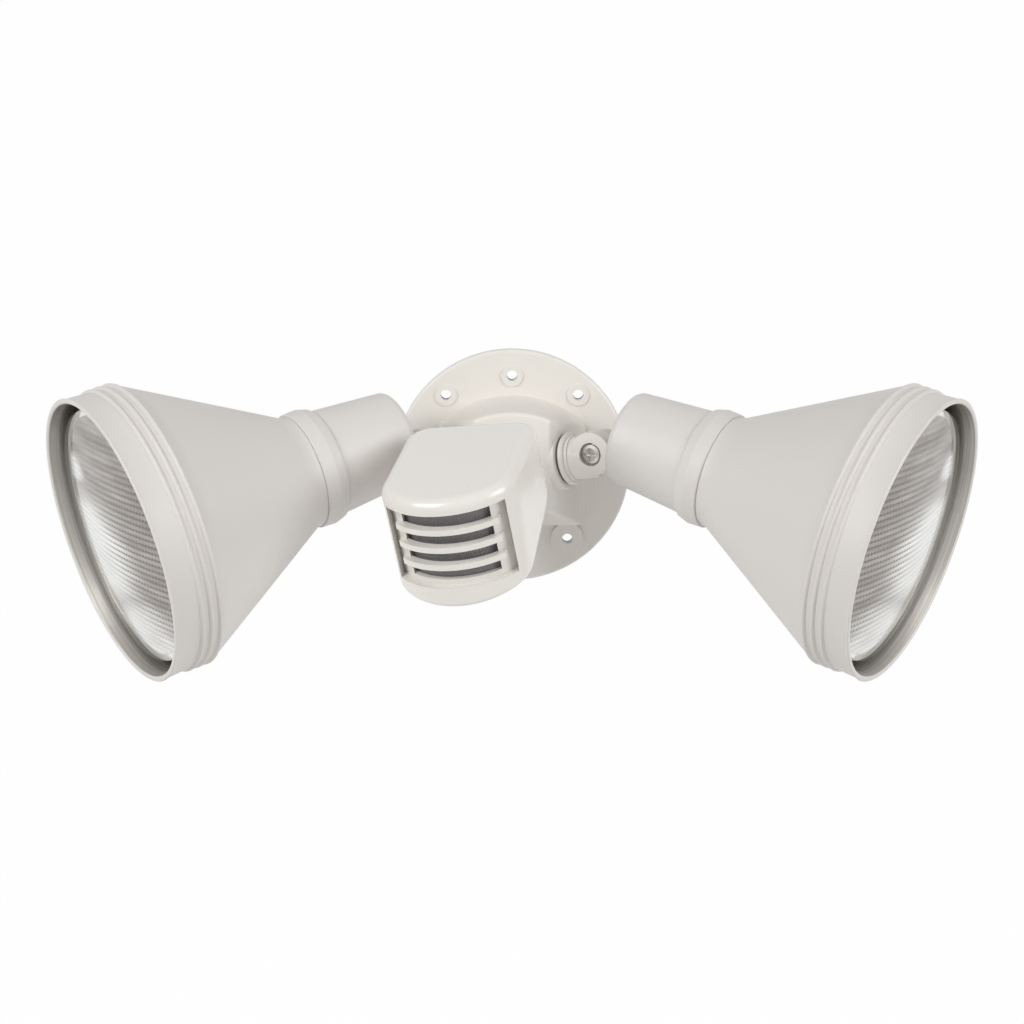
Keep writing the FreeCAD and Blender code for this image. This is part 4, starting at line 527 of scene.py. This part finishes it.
def make_lens(side_name, matrix):
    """Pressed front lens: smooth outside, rows of small round lenslets inside."""
    front = RIM_DISTANCE - BULB_RECESS
    edge = BULB_RADIUS - LENS_INSET
    inner = edge - GLASS
    profile = [(front + LENS_DOME, 0.0)]
    for i in range(1, LENS_RINGS + 1):
        r = edge * i / LENS_RINGS
        profile.append((front + dome(r, edge, LENS_DOME), r))
    profile += [(front - LENS_SKIRT, edge), (front - LENS_SKIRT, inner)]
    profile.reverse()
    bands = [0] * (len(profile) - 1)
    cover = lathe("lens_front_" + side_name, profile, matrix, [LENS_GLASS], bands, LENS_SEGMENTS)

    points, faces, places = [], [], {}
    step = LENSLET_PITCH / LENSLET_STEPS
    count = int(inner / step) + 1
    for i in range(-count, count + 1):
        for k in range(-count, count + 1):
            y, z = i * step, k * step
            r = math.hypot(y, z)
            if r > inner + step:
                continue
            if r > inner:
                y, z, r = y * inner / r, z * inner / r, inner
            shift = LENSLET_PITCH / 2 if round(z / LENSLET_PITCH) % 2 else 0.0
            u = ((y + shift) / LENSLET_PITCH + 0.5) % 1.0 - 0.5
            v = (z / LENSLET_PITCH + 0.5) % 1.0 - 0.5
            swell = max(0.0, 1 - 4 * (u * u + v * v)) * LENSLET_HEIGHT
            fade = min(1.0, (inner - r) / LENSLET_FADE)
            along = front + dome(r, edge, LENS_DOME) - LENS_THICKNESS - swell * fade
            places[(i, k)] = len(points)
            points.append((along, y, z))
    for i, k in places:
        ring = [(i, k), (i, k + 1), (i + 1, k + 1), (i + 1, k)]
        if all(spot in places for spot in ring):
            faces.append(tuple(places[spot] for spot in ring))
    # Its material paints highlights, reflections and shade dots onto the lens back.
    back = make_object("lens_back_" + side_name, points, faces, matrix, [LENS_BACK_PAINTED_LIGHT], 180.0)
    cells = back.data.uv_layers.new(name="cells")
    face = back.data.uv_layers.new(name="face")
    for spot in back.data.loops:
        y, z = points[spot.vertex_index][1:]
        shift = 0.5 if round(z / LENSLET_PITCH) % 2 else 0.0
        cells.data[spot.index].uv = (y / LENSLET_PITCH + shift, z / LENSLET_PITCH)
        face.data[spot.index].uv = (-SIDES[side_name] * y / inner, z / inner)
    for obj in (cover, back):
        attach(obj, "lamp_" + side_name)
        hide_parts("bulb_lens_" + side_name)


def make_screen(matrix):
    """Grey lens sheet behind the window, with its upright ribs and two level seams."""
    half = HEAD_WIDTH / 2
    front_radius = (half * half + HEAD_BULGE * HEAD_BULGE) / (HEAD_BULGE * 2)
    centre = -(HEAD_SETBACK + HEAD_SIDE + HEAD_BULGE - front_radius)
    outer = front_radius - RECESS_DEPTH - HEAD_WALL - SCREEN_GAP
    reach = math.asin(SCREEN_HALF / outer)
    rows = [(SCREEN_TOP, False)]
    for seam in SCREEN_SEAMS:
        level = SCREEN_TOP + (SCREEN_BOTTOM - SCREEN_TOP) * seam
        rows += [(level - SEAM_HALF, False), (level - SEAM_FLOOR_HALF, True)]
        rows += [(level + SEAM_FLOOR_HALF, True), (level + SEAM_HALF, False)]
    rows.append((SCREEN_BOTTOM, False))
    columns = SCREEN_RIBS * SCREEN_RIB_STEPS
    width = columns + 1
    points, faces = [], []

    def add_point(column, level, radius):
        """One corner of the bent sheet, at a column and a level below the head's top."""
        turn = -reach + 2 * reach * column / columns
        points.append((radius * math.sin(turn), centre - radius * math.cos(turn), HEAD_RISE - level))

    for level, in_seam in rows:
        for c in range(width):
            phase = (c % SCREEN_RIB_STEPS) / SCREEN_RIB_STEPS
            depth = SCREEN_RIB_DEPTH * (1 - abs(2 * phase - 1)) ** 2
            add_point(c, level, outer - (SCREEN_SEAM_DEPTH if in_seam else depth))
    total = len(points)
    for level, _ in rows:
        for c in range(width):
            add_point(c, level, outer - SCREEN_THICKNESS)
    for row in range(len(rows) - 1):
        for c in range(columns):
            a = row * width + c
            faces.append((a, a + width, a + width + 1, a + 1))
            b = a + total
            faces.append((b, b + 1, b + width + 1, b + width))
    last = (len(rows) - 1) * width
    for c in range(columns):
        faces.append((c, c + 1, c + 1 + total, c + total))
        faces.append((last + c + 1, last + c, last + c + total, last + c + 1 + total))
    obj = make_object("ribbed_screen", points, faces, matrix, [SCREEN], 25.0)
    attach(obj, "sensor_head")
    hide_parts("fresnel_lens")


# ----------------------------------------------------------------------------------------------------
# Studio
# ----------------------------------------------------------------------------------------------------
TARGET = Vector((0, 0, -0.02416))
CAMERA_RISE = 12.0
CAMERA_DISTANCE = 1.5
FOCAL_LENGTH = 107.64
FLOOR_LEVEL = -0.62
FLOOR_REACH = 60.0
FLOOR_WHITE = 0.985
WORLD_LIGHT = 0.38


def make_camera():
    """Camera at the photograph's viewpoint: from the front, a little above."""
    lens = bpy.data.cameras.new("camera")
    cam = bpy.data.objects.new("camera", lens)
    scene.collection.objects.link(cam)
    away = heading(0, CAMERA_RISE)
    cam.location = TARGET + away * CAMERA_DISTANCE
    cam.rotation_euler = (-away).to_track_quat("-Z", "Y").to_euler()
    lens.lens = FOCAL_LENGTH
    lens.sensor_width = 36.0
    lens.clip_end = 200.0
    scene.camera = cam


def sight_rays(owner):
    """One for rays from the camera, off metal and through glass, and zero for the rest."""
    path = owner.node_tree.nodes.new("ShaderNodeLightPath")
    seen = combine(owner, "MAXIMUM", path.outputs["Is Camera Ray"], path.outputs["Is Glossy Ray"])
    return combine(owner, "MAXIMUM", seen, path.outputs["Is Transmission Ray"])


def make_world():
    """Even light all round, which cameras, metal and glass see as white."""
    world = bpy.data.worlds.new("studio")
    scene.world = world
    world.use_nodes = True
    nodes = world.node_tree.nodes
    fill = nodes["Background"]
    fill.inputs["Color"].default_value = (1, 1, 1, 1)
    fill.inputs["Strength"].default_value = WORLD_LIGHT
    white = add(world, "ShaderNodeBackground", Color=(1, 1, 1, 1), Strength=1.0)
    mix = nodes.new("ShaderNodeMixShader")
    link(world, sight_rays(world), mix.inputs[0])
    link(world, fill.outputs[0], mix.inputs[1])
    link(world, white.outputs[0], mix.inputs[2])
    link(world, mix.outputs[0], nodes["World Output"].inputs["Surface"])


def make_floor():
    """Wide pale floor, well below the fixture, that shows white and keeps a faint shadow."""
    mat, main = shader("floor_white", (0.9, 0.9, 0.9), 0.9)
    nodes = mat.node_tree.nodes
    glow = add(mat, "ShaderNodeEmission", Color=(1, 1, 1, 1), Strength=1.0)
    mix = nodes.new("ShaderNodeMixShader")
    link(mat, combine(mat, "MULTIPLY", sight_rays(mat), FLOOR_WHITE), mix.inputs[0])
    link(mat, main.outputs[0], mix.inputs[1])
    link(mat, glow.outputs[0], mix.inputs[2])
    link(mat, mix.outputs[0], nodes["Material Output"].inputs["Surface"])
    mesh = bpy.data.meshes.new("floor")
    corners = [(x * FLOOR_REACH, y * FLOOR_REACH, 0) for x, y in ((-1, -1), (1, -1), (1, 1), (-1, 1))]
    mesh.from_pydata(corners, [], [(0, 1, 2, 3)])
    mesh.materials.append(mat)
    floor = bpy.data.objects.new("floor", mesh)
    scene.collection.objects.link(floor)
    floor.location = (0, 0, FLOOR_LEVEL)


def softbox(name, place, size, power):
    """Rectangular lamp aimed at the fixture: place and size in metres, power in watts."""
    lamp = bpy.data.lights.new(name, "AREA")
    lamp.shape = "RECTANGLE"
    lamp.size, lamp.size_y = size
    lamp.energy = power
    obj = bpy.data.objects.new(name, lamp)
    scene.collection.objects.link(obj)
    obj.location = place
    obj.rotation_euler = (TARGET - Vector(place)).to_track_quat("-Z", "Y").to_euler()


scene.view_settings.view_transform = "Standard"
dress_nodes()
for side_name, side in SIDES.items():
    make_shade(side_name, lamp_frame(side))
    make_lens(side_name, lamp_frame(side))
make_screen(head_frame())
make_camera()
make_world()
make_floor()
softbox("key", place=(-1.2, -1.1, 0.75), size=(1.0, 0.8), power=17)
softbox("fill", place=(1.3, -0.9, 0.65), size=(1.0, 1.0), power=14)
